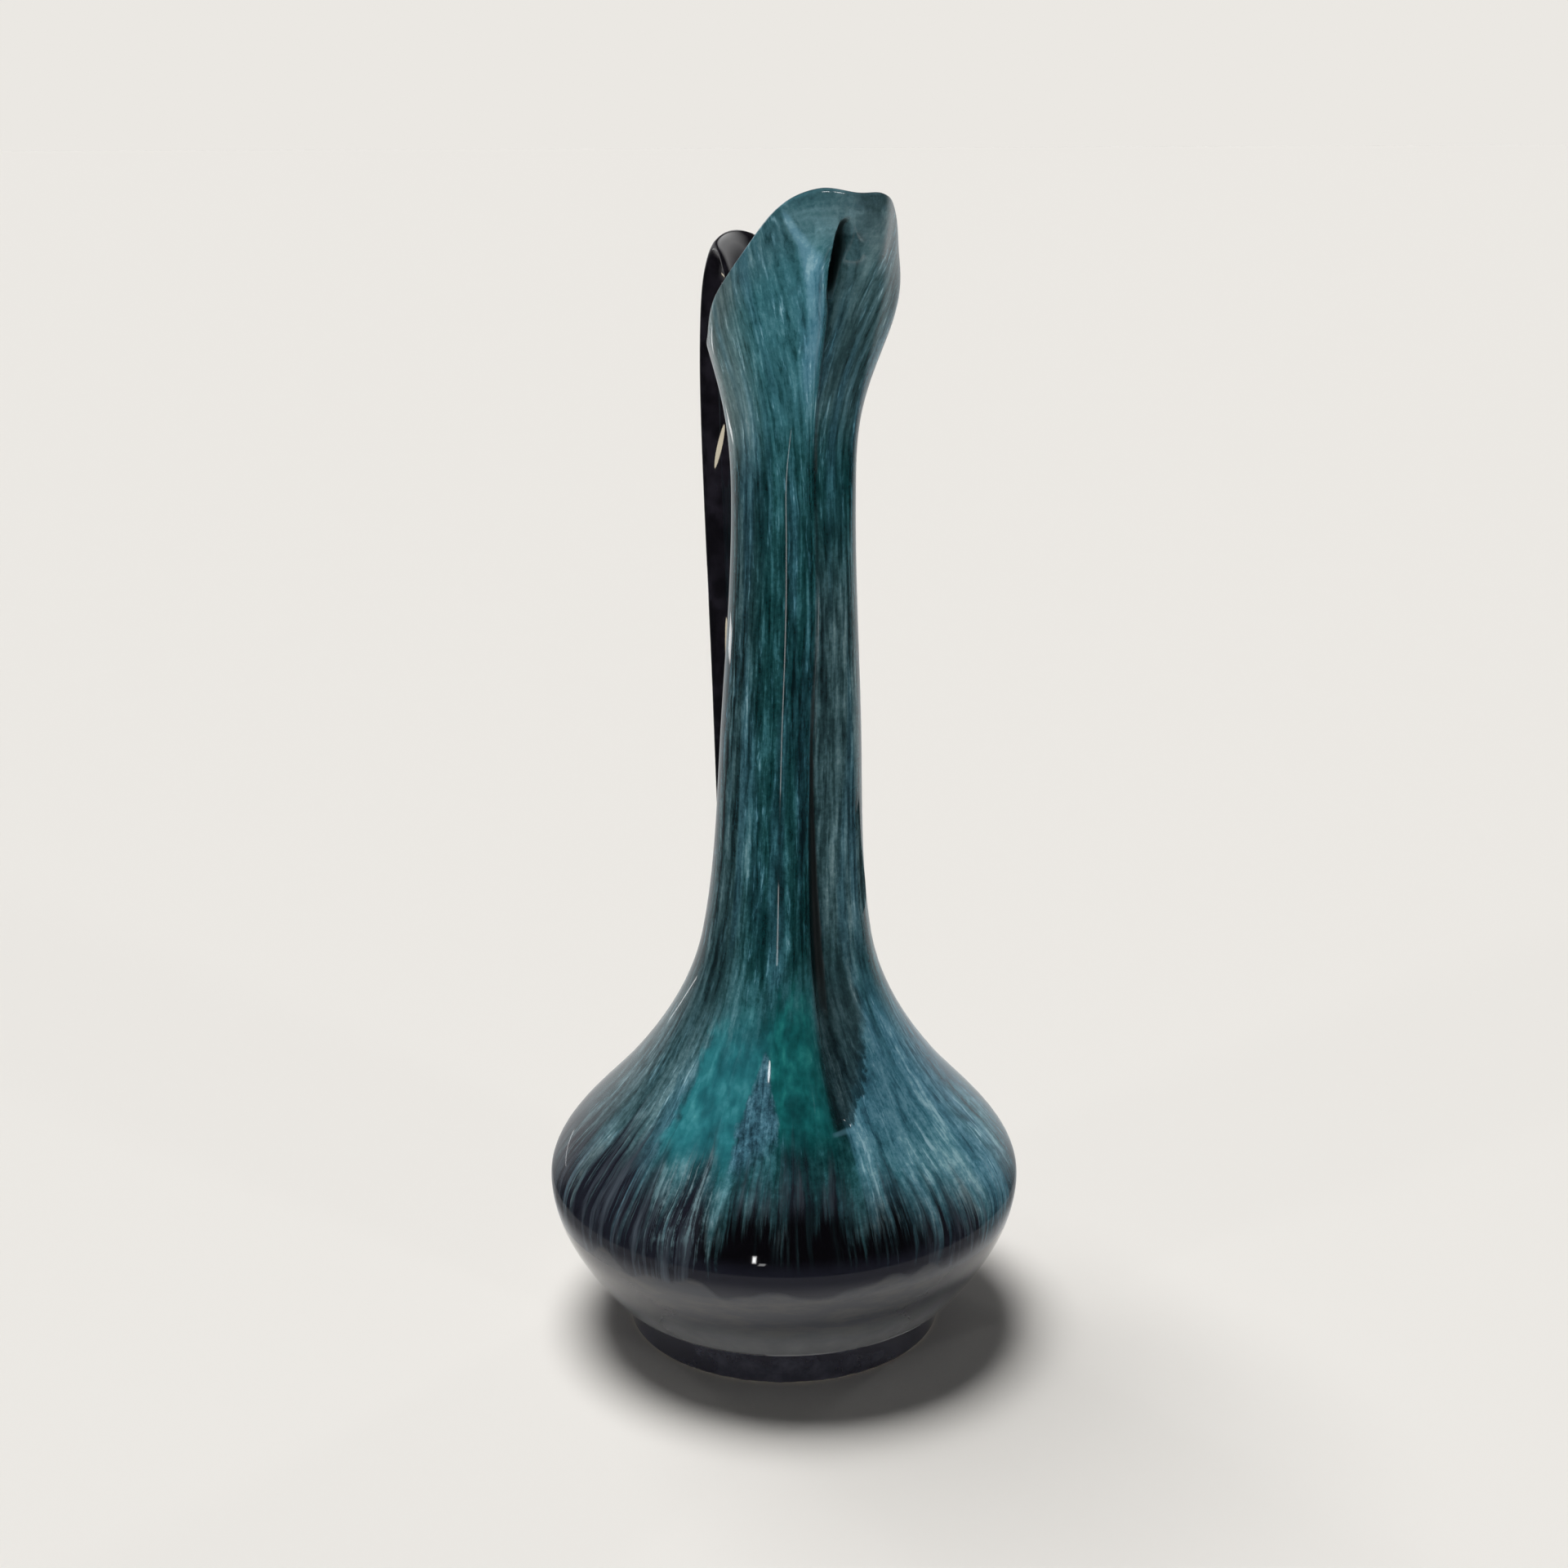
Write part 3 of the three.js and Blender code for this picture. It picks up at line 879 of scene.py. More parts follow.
@dataclass
class Strap:
    """The strap handle, with the clay drawn out on the wall at both ends."""

    pot: Pot
    sides: int = 40
    steps: int = 170
    top_width: float = 14.2
    foot_width: float = 12.6
    top_thickness: float = 8.8
    foot_thickness: float = 8.2
    crown: float = 1.25
    upper_collar: float = 27.0
    lower_collar: float = 22.0
    clay: float = 3.0
    hollow: float = 3.2
    hollow_reach: float = 1.6
    least_slant: float = 0.15
    root_drop: float = 80.6
    approach_drop: float = 8.0
    landing_rise: float = 78.0

    def path(self, count: int) -> tuple[Array, Array, float]:
        """Runs the strap's centre line out of the wall, over the arch and down to the shoulder.

        Args:
            count: How many even steps the line has.

        Returns:
            Points (back, up) along the line, their unit tangents, and the line's length.
        """
        pot = self.pot
        zero = np.zeros(1)
        root = pot.rim_top - self.root_drop
        approach = pot.body_top - self.approach_drop
        landing = pot.foot_top + self.landing_rise
        wall = [float(pot.back_wall(zero, np.array([z]))[0]) for z in (root, approach, landing)]
        stations = np.array([
            (wall[0] - 8, root),
            (23.2, pot.rim_top - 28.8),
            (34.6, pot.rim_top - 16.5),
            (43.4, pot.rim_top - 24),
            (47.9, pot.rim_top - 46),
            (41.3, pot.body_top + 66),
            (wall[1] + 10.2, approach),
            (wall[2] - 7, landing - 7),
        ])
        line = centripetal(stations)
        length = np.concatenate([[0], np.cumsum(np.hypot(*np.diff(line, axis=0).T))])
        even = np.linspace(0, length[-1], count + 1)
        points = np.stack([np.interp(even, length, line[:, k]) for k in (0, 1)], axis=1)
        tangent = np.gradient(points, axis=0)
        tangent /= np.linalg.norm(tangent, axis=1)[:, None]
        return points, tangent, float(length[-1])

    def build(self) -> bpy.types.Object:
        """Draws a tube out straight, bends it along the line and works its ends on to the wall.

        Returns:
            The strap.
        """
        points, tangent, length = self.path(self.steps)
        bpy.ops.object.select_all(action="DESELECT")
        bpy.ops.mesh.primitive_circle_add(vertices=self.sides, radius=1, location=(0, 0, 0))
        strap = bpy.context.object
        strap.name = strap.data.name = "strap"
        bpy.ops.object.mode_set(mode="EDIT")
        bpy.ops.mesh.select_all(action="SELECT")
        for _ in range(self.steps):
            bpy.ops.mesh.extrude_region_move(TRANSFORM_OT_translate={"value": (0, 0, 1)})
        bpy.ops.object.mode_set(mode="OBJECT")
        mesh = strap.data
        place = points_of(mesh) * MM
        ring = np.rint(place[:, 2]).astype(int)
        turn = np.arctan2(place[:, 1], place[:, 0])
        share = ring / self.steps
        from_top = share * length
        from_foot = length - from_top
        worked = smooth(1 - from_top / self.upper_collar) + smooth(1 - from_foot / self.lower_collar)
        clay = self.clay * worked
        width = between(self.top_width, self.foot_width, smooth(share)) + 2 * clay
        thickness = between(self.top_thickness, self.foot_thickness, smooth(share)) + 2 * clay
        crown = np.sign(np.sin(turn)) * np.abs(np.sin(turn)) ** self.crown * thickness / 2
        back = points[ring, 0] + tangent[ring, 1] * crown
        up = points[ring, 1] - tangent[ring, 0] * crown
        set_points(mesh, np.stack([np.cos(turn) * width / 2, back, up], axis=1))
        self.close_ends(strap)
        self.work_on(mesh)
        return strap

    def close_ends(self, strap: bpy.types.Object) -> None:
        """Fills the tube's two ends, which lie inside the wall.

        Args:
            strap: The strap, active; not used, as the fill works on the active object.
        """
        bpy.ops.object.mode_set(mode="EDIT")
        bpy.ops.mesh.select_all(action="DESELECT")
        bpy.ops.mesh.select_mode(type="EDGE")
        bpy.ops.mesh.select_non_manifold()
        bpy.ops.mesh.fill_holes(sides=0)
        bpy.ops.mesh.select_all(action="SELECT")
        bpy.ops.mesh.normals_make_consistent(inside=False)
        bpy.ops.mesh.select_all(action="DESELECT")
        bpy.ops.mesh.select_mode(type="VERT")
        bpy.ops.object.mode_set(mode="OBJECT")

    def work_on(self, mesh: bpy.types.Mesh) -> None:
        """Draws the strap's clay out where it meets the wall, as a soft hollow.

        Args:
            mesh: The strap's mesh.
        """
        place = points_of(mesh)
        normals = np.zeros(len(mesh.vertices) * 3, np.float32)
        mesh.vertices.foreach_get("normal", normals)
        normals = normals.reshape(-1, 3).astype(float)
        x, y, z = place.T
        wall = self.pot.back_wall(x, z)
        rise = (self.pot.back_wall(x, z + 1) - self.pot.back_wall(x, z - 1)) / 2
        side = (self.pot.back_wall(x + 0.5, z) - self.pot.back_wall(x - 0.5, z))
        out = np.stack([-side, np.ones_like(x), -rise], axis=1)
        out /= np.linalg.norm(out, axis=1)[:, None]
        gap = np.where(z < self.pot.neck_top + 30, (y - wall) * out[:, 1], BEYOND)
        along = normals - np.sum(normals * out, axis=1)[:, None] * out
        along /= np.maximum(np.linalg.norm(along, axis=1)[:, None], self.least_slant)
        spread = self.hollow * np.clip(1 - gap / (self.hollow_reach * self.hollow), 0, 1) ** 2
        set_points(mesh, place + along * np.where(gap > -self.hollow, spread, 0)[:, None])


def centripetal(stations: Array, per_span: int = 60) -> Array:
    """Runs a centripetal curve through stations.

    Args:
        stations: A point a row.
        per_span: How many steps there are between two stations.

    Returns:
        The curve's points, a row each.
    """
    before = 2 * stations[0] - stations[1]
    after = 2 * stations[-1] - stations[-2]
    ends = np.vstack([before, stations, after])
    rows = []
    for i in range(1, len(ends) - 2):
        p0, p1, p2, p3 = ends[i - 1 : i + 3]
        d0, d1, d2 = (float(np.linalg.norm(b - a)) ** 0.5 for a, b in ((p0, p1), (p1, p2), (p2, p3)))
        start = ((p1 - p0) / d0 - (p2 - p0) / (d0 + d1) + (p2 - p1) / d1) * d1
        end = ((p2 - p1) / d1 - (p3 - p1) / (d1 + d2) + (p3 - p2) / d2) * d1
        t = np.linspace(0, 1, per_span, endpoint=False)[:, None]
        rows.append(
            p1 * (2 * t**3 - 3 * t**2 + 1)
            + p2 * (3 * t**2 - 2 * t**3)
            + start * (t**3 - 2 * t**2 + t)
            + end * (t**3 - t**2)
        )
    return np.vstack([*rows, stations[-1:]])


@dataclass(frozen=True)
class Gloss:
    """How a fired glaze takes the light."""

    roughness: float = 0.045
    ior: float = 1.62
    ripple: float = 0.05
    ripple_scale: float = 45.0
    ripple_depth: float = 0.002


@dataclass(frozen=True)
class Family:
    """One family of the glaze's colours, from its dark gaps to its lightest runs."""

    depths: tuple[Colour, ...]
    places: tuple[float, ...] = (0.0, 0.25, 0.45, 0.65, 0.85, 1.0)


def family(*codes: int) -> Family:
    """Returns a family of colours from hex codes, dark to light."""
    return Family(tuple(srgb(code) for code in codes))


@dataclass
class GlazedWall:
    """The wall as its glaze reads it: where a place lies, and noise drawn out down the runs.

    Angles are in radians round from the spout, and lengths in millimetres. The run is the way down
    the wall from the rim, and across is the way from the fold's line.
    """

    g: Graph

    def __post_init__(self) -> None:
        """Reads the wall's attributes and marks out its regions."""
        g = self.g
        self.sin_phi, self.cos_phi, self.run = g.attribute("flow")
        self.radius, drift, _ = g.attribute("fold")
        self.phi = g.math("ARCTAN2", self.sin_phi, self.cos_phi)
        self.across = self.phi * self.radius - drift
        self.place = g.node("ShaderNodeTexCoord").outputs["Object"]
        run, across = self.run, self.across
        tip = run.rise(22, 6)
        self.right = across.rise(-0.5, 0.5) * (1 - tip) + across.rise(-16, 16) * tip
        self.front = self.cos_phi.rise(-0.4, 0.4)
        self.facet = self.right * self.front
        self.far_left = self.phi.rise(-0.7, -1.3)
        self.lip = run.rise(74, 46)
        self.neck = run.window(72, 112, 190, 226)
        self.shoulder = run.rise(204, 236)
        self.bend_runs()
        self.draw_marks()

    def bend_runs(self) -> None:
        """Works out which angle each run comes from, as the runs sway and part round the fold."""
        g, run = self.g, self.run
        fall = g.math("MAXIMUM", 1 - run * (1 / 90), 0)
        pull = fall * fall * self.cos_phi.rise(0.3, 1.0) * (self.right * 29 - 17)
        sway = g.noise(g.vector(self.sin_phi * 4, self.cos_phi * 4, run * 0.03), detail=1) - 0.5
        where = g.vector(self.sin_phi * 13, self.cos_phi * 13, run * 0.12)
        wobble = g.noise(where, detail=2, roughness=0.6) - 0.5
        turn = self.phi - pull.over(self.radius) + sway * 0.08
        turn = turn + wobble * (0.05 - run.rise(236, 270) * 0.036)
        self.sin_turn, self.cos_turn = g.math("SINE", turn), g.math("COSINE", turn)

    def draw_marks(self) -> None:
        """Draws the threads, bands and blotches that several zones share, each about zero."""
        fine = self.shoulder * 0.8 + 0.2 + self.run.rise(60, 25) * 0.5
        threads = (self.drawn(17, 0.03, 2, 0.55, 5.3), self.drawn(34, 0.045, 3, 0.6, 3.1))
        mottle = (self.drawn(11, 0.1, 4, 0.62, 27.1), self.drawn(19, 0.2, 5, 0.7, 23.9))
        self.threads = self.g.blend(fine, *threads) - 0.5
        self.mottle = self.g.blend(fine, *mottle) - 0.5
        self.bands = self.drawn(12, 0.022, 2, 0.5, 11.7) - 0.5
        self.soft = self.drawn(9, 0.13, 2, 0.6, 83.3) - 0.5
        self.grain = self.g.noise(self.place, scale=850, detail=3, roughness=0.7) - 0.5

    def drawn(self, around: float, down: float, detail: float, roughness: float, seed: float) -> Field:
        """Returns noise drawn out down the wall.

        Args:
            around: How fine it is round the wall.
            down: How fine it is down the wall.
            detail: How many finer layers it has.
            roughness: How strong those layers are.
            seed: Where the noise starts, which sets one kind of mark apart from another.

        Returns:
            Noise from 0 to 1.
        """
        where = self.g.vector(self.sin_turn * around, self.cos_turn * around, self.run * down + seed)
        return self.g.noise(where, detail=detail, roughness=roughness)

    def valley(self) -> Field:
        """Finds the painted shade along the bottom of the fold.

        Returns:
            1 in the line and 0 beside it.
        """
        run = self.run
        half = 0.6 + run.rise(145, 212) * 1.6 + run.window(5, 13, 14, 34) * 1.3 + self.mottle * 1.6
        line = self.g.math("ABSOLUTE", self.across - 0.2).over(half).rise(1.3, 0.7)
        line = line * run.window(4.5, 7, 206, 228)
        return line * (1 - run.window(20, 27, 122, 150) * 0.75)


@dataclass(frozen=True)
class RunningGlaze:
    """The poured glaze: teal, slate and blue runs over a black ground, thinning out round the belly."""

    gloss: Gloss = Gloss()
    ground: Colour = srgb(0x07060A)
    aubergine: Colour = srgb(0x1B1C26)
    mist: Colour = srgb(0x505A64)
    bare: Colour = srgb(0x3C3E43)
    # Painted shade for the bottom of the fold and round the fold's end on the shoulder.
    hollow: Colour = srgb(0x081A1D)
    # Painted sheen at the far left of the lip.
    left_sheen: Colour = srgb(0x76807A)
    pale_run: Colour = srgb(0x7C9AA2)
    stone: Colour = srgb(0x4C4B4A)
    # Painted highlight along the joint with the foot ring.
    joint_highlight: Colour = srgb(0x7C7C7E)
    # Painted reflection of the bright table on the belly just above the foot.
    painted_table_reflection: Colour = srgb(0x747678)
    valley_roughness: float = 0.4
    base: float = field(default_factory=lambda: top_z(Part.FOOT))
    teal: Family = family(0x02191B, 0x0B3437, 0x1E4C50, 0x3A727B, 0x659AA4, 0x8FBCC4)
    slate: Family = family(0x0A1418, 0x1B2C31, 0x2F464B, 0x4B646A, 0x6C858A, 0x93A3A5)
    blue: Family = family(0x10222C, 0x1F3B47, 0x335A6C, 0x487C90, 0x6A9CB0, 0x9AC3D0)
    turquoise: Family = family(0x174A52, 0x1E5D66, 0x256D77, 0x2F7F88, 0x45959D, 0x63ABB2)
    viridian: Family = family(0x083A3E, 0x0C4A4D, 0x125B5D, 0x1B7071, 0x2C8A88, 0x55AAA5)

    def material(self) -> bpy.types.Material:
        """Builds the glaze from the runs, pools and bare patches that the kiln left, with painted shade
        in the fold and painted highlights and reflections near the fold's end and the foot.

        Returns:
            The finish of the pot.
        """
        material, g, shader = new_material("running_glaze")
        wall = GlazedWall(g)
        valley = wall.valley()
        value, colour = self.runs(wall)
        colour = self.pools(wall, colour)
        colour = self.fold_end(wall, value, colour)
        colour = self.belly(wall, colour)
        # Painted shade: the bottom of the fold is darkened to the hollow colour.
        colour = g.mix(valley * 0.95, colour, self.hollow)
        colour = self.edges(wall, colour)
        g.feed(shader.inputs["Base Color"], colour)
        dress_gloss(g, shader, self.gloss)
        matt = valley.rise(0.1, 0.5) * self.valley_roughness
        g.feed(shader.inputs["Roughness"], matt + self.gloss.roughness)
        return material

    def ramp(self, g: Graph, value: Field, colours: Family) -> Field:
        """Colours a value.

        Args:
            g: The material's graph.
            value: How light the glaze is, from 0 to 1.
            colours: The family that the colour comes from.

        Returns:
            The colour.
        """
        made = g.node("ShaderNodeValToRGB")
        stops = made.color_ramp.elements
        while len(stops) < len(colours.places):
            stops.new(0.5)
        for stop, place, colour in zip(stops, colours.places, colours.depths):
            stop.position, stop.color = place, (*colour, 1)
        g.feed(made.inputs[0], value)
        return Field(g, made.outputs[0])

    def runs(self, wall: GlazedWall) -> tuple[Field, Field]:
        """Draws the runs of the lip, the neck and the shoulder.

        Args:
            wall: The wall that they run down.

        Returns:
            How light the glaze is, and its colour.
        """
        g, phi, run, across = wall.g, wall.phi, wall.run, wall.across
        lip, neck, shoulder = wall.lip, wall.neck, wall.shoulder
        front, facet, far_left = wall.front, wall.facet, wall.far_left
        hues = wall.drawn(4, 0.012, 1, 0.5, 71.9)
        patches = wall.drawn(5, 0.045, 2, 0.55, 127.9) - 0.5
        crease_shade = across.window(-12, -7, -2, 1) * front
        lobe = lip * phi.rise(-1.0, -0.6) * (1 - wall.right)
        sheet = self.sheet(wall)

        level = 0.5 + lip * 0.08 - neck * 0.07 + shoulder * 0.07 + patches * 0.5
        level = level + lobe * 0.05 + sheet * 0.12 + run.rise(14, 4) * front * 0.02
        level = level - run.window(50, 66, 90, 120) * 0.03
        # Painted reflection: the facet terms from here on set the tone of the fold's right wall on the
        # lip and neck.
        level = level - shoulder * phi.rise(0.7, 1.15) * 0.17 + neck * facet * 0.09
        level = level + lip * far_left * 0.17 + shoulder * facet * 0.13 + run.rise(256, 276) * 0.1
        # Painted shade: the fold's left wall along the neck is darkened.
        level = level - neck * crease_shade * 0.12
        level = level - facet * run.window(22, 44, 76, 100) * 0.1
        level = level - phi.window(-0.44, -0.32, -0.06, 0.05) * run.window(240, 254, 270, 280) * 0.2
        spread = 0.86 - lip * 0.14 + neck * 0.3
        value = wall.threads * 0.45 + wall.bands * 0.85 + wall.mottle * 1.05 + wall.grain * 0.35
        value = level + value * spread
        flecks = wall.drawn(22, 0.13, 4, 0.62, 37.3) * (1 - shoulder)
        flecks = flecks + wall.drawn(46, 0.085, 4, 0.64, 41.9) * shoulder
        clumps = wall.drawn(6, 0.035, 2, 0.55, 57.1).rise(0.42, 0.6) * (1 - facet * neck * 0.7)
        value = value + flecks.rise(0.54, 0.68) * clumps * 0.3 - flecks.rise(0.45, 0.3) * 0.14

        # Painted reflection greys the fold's right wall (facet) on the lip and neck, and painted sheen
        # greys the far left.
        grey = facet * (lip * 0.85 + neck * 0.85) + far_left * 0.8
        grey = grey + (1 - front) * hues.rise(0.55, 0.4) * 0.4
        grey = grey + run.rise(18, 5) * front * 0.45 + run.rise(262, 280) * 0.45
        blueness = shoulder * facet * (0.85 - run.rise(244, 268) * 0.45) + lobe * 0.2 + sheet * 0.75
        blueness = blueness + hues.rise(0.5, 0.68) * 0.4 + flecks.rise(0.5, 0.7) * clumps * 0.4
        colour = g.mix(grey, self.ramp(g, value, self.teal), self.ramp(g, value, self.slate))
        colour = g.mix(blueness, colour, self.ramp(g, value, self.blue))
        # Painted sheen: the lip's far left is tinted grey, and it is also lightened and greyed in the
        # level and grey above.
        return value, g.mix(lip * far_left * (1 - front * 0.4) * 0.34, colour, self.left_sheen)

    def sheet(self, wall: GlazedWall) -> Field:
        """Finds the pale sheet that falls from the rim beside the fold.

        Args:
            wall: The wall.

        Returns:
            1 in the sheet and 0 beside it.
        """
        g, run = wall.g, wall.run
        centre = g.math("MAXIMUM", 1 - run * (1 / 30), 0)
        away = wall.across + 4.5 + g.math("POWER", centre, 1.3) * 9.5 + wall.bands * 4
        away = g.math("ABSOLUTE", away).over(0.6 + run.rise(4, 22) * 2.5)
        return away.rise(1.5, 0.3) * run.window(0, 4, 36, 58) * wall.front

    def pools(self, wall: GlazedWall, colour: Field) -> Field:
        """Lays the turquoise and the green pool on the shoulder, with the blue tongue between.

        Args:
            wall: The wall.
            colour: The glaze under them.

        Returns:
            The colour with the pools on it.
        """
        g, phi, run = wall.g, wall.phi, wall.run
        soft, mottle, grain = wall.soft, wall.mottle, wall.grain
        left = phi.rise(-0.42, -0.62)
        ends = run + soft * 12 + (1 - left) * 9
        pool = (phi + soft * 0.3).window(-1.12, -1.02, -0.14, 0.04) * ends.window(214, 232, 255, 269)
        spine = g.math("ABSOLUTE", phi + 0.53)
        tongue = (spine - run.rise(224, 252) * 0.125 - mottle * 0.12).rise(0.02, -0.02)
        tongue = tongue * run.rise(227, 230)
        value = 0.53 + soft * 1.5 + grain * 0.2 + mottle * 0.3
        pooled = g.mix(left, self.ramp(g, value, self.viridian), self.ramp(g, value, self.turquoise))
        colour = g.mix(pool * (1 - tongue) * 0.92, colour, pooled)
        value = 0.54 + wall.threads * 0.9 + mottle * 1.3 + grain * 0.7
        between_pools = g.mix(0.2, self.ramp(g, value, self.blue), self.ramp(g, value, self.slate))
        return g.mix(pool * tongue, colour, between_pools)

    def fold_end(self, wall: GlazedWall, value: Field, colour: Field) -> Field:
        """Paints shade into the hollow where the fold ends on the shoulder.

        Args:
            wall: The wall.
            value: How light the glaze is.
            colour: The glaze round the hollow.

        Returns:
            The colour with the hollow in it.
        """
        g, run, across = wall.g, wall.run, wall.across
        low = g.math("MAXIMUM", run * (1 / 34) - 6.35, 0)
        # Painted shade: the pit is darkened to slate, and its rim to the hollow colour below.
        pit_shade = (across + low * low * 10 + wall.mottle * 7 - 11.5).rise(2.0, -1.6)
        pit_shade = pit_shade * across.rise(-4.5, -1.5) * run.window(186, 218, 249, 252) * wall.front
        value = value - 0.16 + wall.soft * 0.3 - run.rise(222, 248) * 0.16
        colour = g.mix(pit_shade * 0.92, colour, self.ramp(g, value, self.slate))
        edge = pit_shade.window(0.02, 0.3, 0.5, 0.95) * run.rise(216, 236)
        return g.mix(edge * 0.55, colour, self.hollow)

    def belly(self, wall: GlazedWall, colour: Field) -> Field:
        """Thins the runs out over the dark ground round the belly, down to the wavy lap.

        Args:
            wall: The wall.
            colour: The runs.

        Returns:
            The colour with the ground showing between and below them.
        """
        g, phi, run, soft = wall.g, wall.phi, wall.run, wall.soft
        edge = wall.drawn(6, 0.0, 2, 0.5, 91.7) - 0.5
        comb = wall.drawn(30, 0.02, 4, 0.68, 97.1) - 0.5
        brim = run - phi.rise(-0.4, 0.7) * wall.front * 14 + edge * 36
        veil = (brim - comb * 46).rise(279, 254)
        clear = phi.window(-0.82, -0.66, 0.12, 0.5) * run.rise(266, 276)
        trails = wall.drawn(44, 0.016, 3, 0.62, 103.3).rise(0.5, 0.63)
        trails = trails * wall.drawn(8, 0.0, 1, 0.5, 119.3).rise(0.4, 0.56)
        trails = trails * (brim - comb * 64).rise(304, 266) * run.rise(294, 282)
        trails = trails * (1 - clear * 0.75)
        smoke = wall.drawn(24, 0.03, 3, 0.64, 109.7).rise(0.42, 0.75) * (1 - clear) * 0.8
        ground = g.mix(clear * run.rise(289, 284), self.aubergine, self.ground)
        ground = g.mix(smoke, ground, self.mist)
        clouds = wall.drawn(5, 0.3, 4, 0.66, 137.3).rise(0.4, 0.66)
        ground = g.mix(self.lap(wall).rise(294, 296), ground, g.mix(clouds * 0.6, self.bare, self.stone))
        colour = g.mix(g.math("MAXIMUM", veil, trails * 0.85), ground, colour)
        hairs = (wall.drawn(58, 0.03, 4, 0.66, 131.1) + wall.mottle * 0.5).rise(0.47, 0.66)
        group = (phi + soft * 0.16).window(-1.04, -0.92, -0.72, -0.64)
        group = group * (run - comb * 26).window(257, 268, 276, 290)
        return g.mix(group * hairs * 0.85, colour, self.pale_run)

    def lap(self, wall: GlazedWall) -> Field:
        """Waves the run as the glaze's lower edge is waved.

        Args:
            wall: The wall.

        Returns:
            The run, bent up and down round the wall.
        """
        g = wall.g
        wave = g.noise(g.vector(wall.sin_phi * 4.5, wall.cos_phi * 4.5, 9.0), detail=1) - 0.5
        return wall.run - wave * 17

    def edges(self, wall: GlazedWall, colour: Field) -> Field:
        """Paints a highlight ring at the fold's end, a reflection of the table on the belly just above
        the foot, a highlight along the joint with the foot, and the dark glaze inside.

        Args:
            wall: The wall.
            colour: The glaze outside.

        Returns:
            The finished colour.
        """
        g, run = wall.g, wall.run
        # Painted highlight: a pale ring where the fold ends on the shoulder.
        ring = run.window(250.8, 251.4, 251.8, 252.6) * wall.across.window(-5, -3, 2, 4) * wall.front
        colour = g.mix(ring * 0.35, colour, self.blue.depths[-2])
        height = g.parts(wall.place)[2] * (1 / MM) - self.base
        # Painted reflection: the belly below the lap is lighter just above the foot.
        painted_table_reflection = height.rise(17, 3) * self.lap(wall).rise(294, 300) * (0.8 + wall.soft * 0.5)
        colour = g.mix(painted_table_reflection, colour, self.painted_table_reflection)
        # Painted highlight: a pale line along the joint with the foot ring.
        worn = height.window(-0.2, 0.2, 1.0, 1.7) * run.rise(200, 210) * 0.5
        colour = g.mix(worn, colour, self.joint_highlight)
        return g.mix(run.rise(-1.5, -9), colour, self.ground)


@dataclass(frozen=True)
class DarkGlaze:
    """The near-black aubergine glaze of the foot and the handle."""

    name: str
    ground: Colour
    bloom: Colour
    worn: Colour = srgb(0x8C857C)
    worn_height: float = 0.5
    gloss: Gloss = Gloss()

    def material(self) -> bpy.types.Material:
        """Builds the glaze, slightly clouded, and wiped off the edge that the pot stands on.

        Returns:
            The finish of the foot or of the handle.
        """
        material, g, shader = new_material(self.name)
        place = g.node("ShaderNodeTexCoord").outputs["Object"]
        height = g.parts(place)[2] * (1 / MM)
        cloud = g.noise(place, scale=130, detail=4, roughness=0.65)
        colour = g.mix(cloud.rise(0.4, 0.7), self.ground, self.bloom)
        ragged = g.noise(place, scale=260, detail=2) - 0.5
        wiped = (height + ragged * 0.8).rise(self.worn_height + 0.15, self.worn_height - 0.15)
        g.feed(shader.inputs["Base Color"], g.mix(wiped, colour, self.worn))
        dress_gloss(g, shader, self.gloss)
        return material


def dress_gloss(g: Graph, shader: bpy.types.Node, gloss: Gloss) -> None:
    """Sets a shader's gloss, with the slight ripple of fired glaze.

    Args:
        g: The material's graph.
        shader: Its main shader.
        gloss: How glossy and how rippled it is.
    """
    shader.inputs["Roughness"].default_value = gloss.roughness
    shader.inputs["IOR"].default_value = gloss.ior
    place = g.node("ShaderNodeTexCoord").outputs["Object"]
    waves = g.noise(place, scale=gloss.ripple_scale, detail=1)
    bump = g.node("ShaderNodeBump")
    bump.inputs["Strength"].default_value = gloss.ripple
    bump.inputs["Distance"].default_value = gloss.ripple_depth
    g.feed(bump.inputs["Height"], waves)
    g.feed(shader.inputs["Normal"], bump.outputs[0])


CARD_FADE = 0.7
DIM = 0.015
POT_MIDDLE = (0, 0, 150)
LIP_FRONT = (0, -45, 305)
ARCH = (0, 45, 250)
STRIP_SIDES = (-32.2, -29.8)
STRIP_END, STRIP_LEVEL, STRIP_TOP, STRIP_LIGHT = 1375, 12, 52, 3.2
WARM = (1.0, 0.9, 0.68)


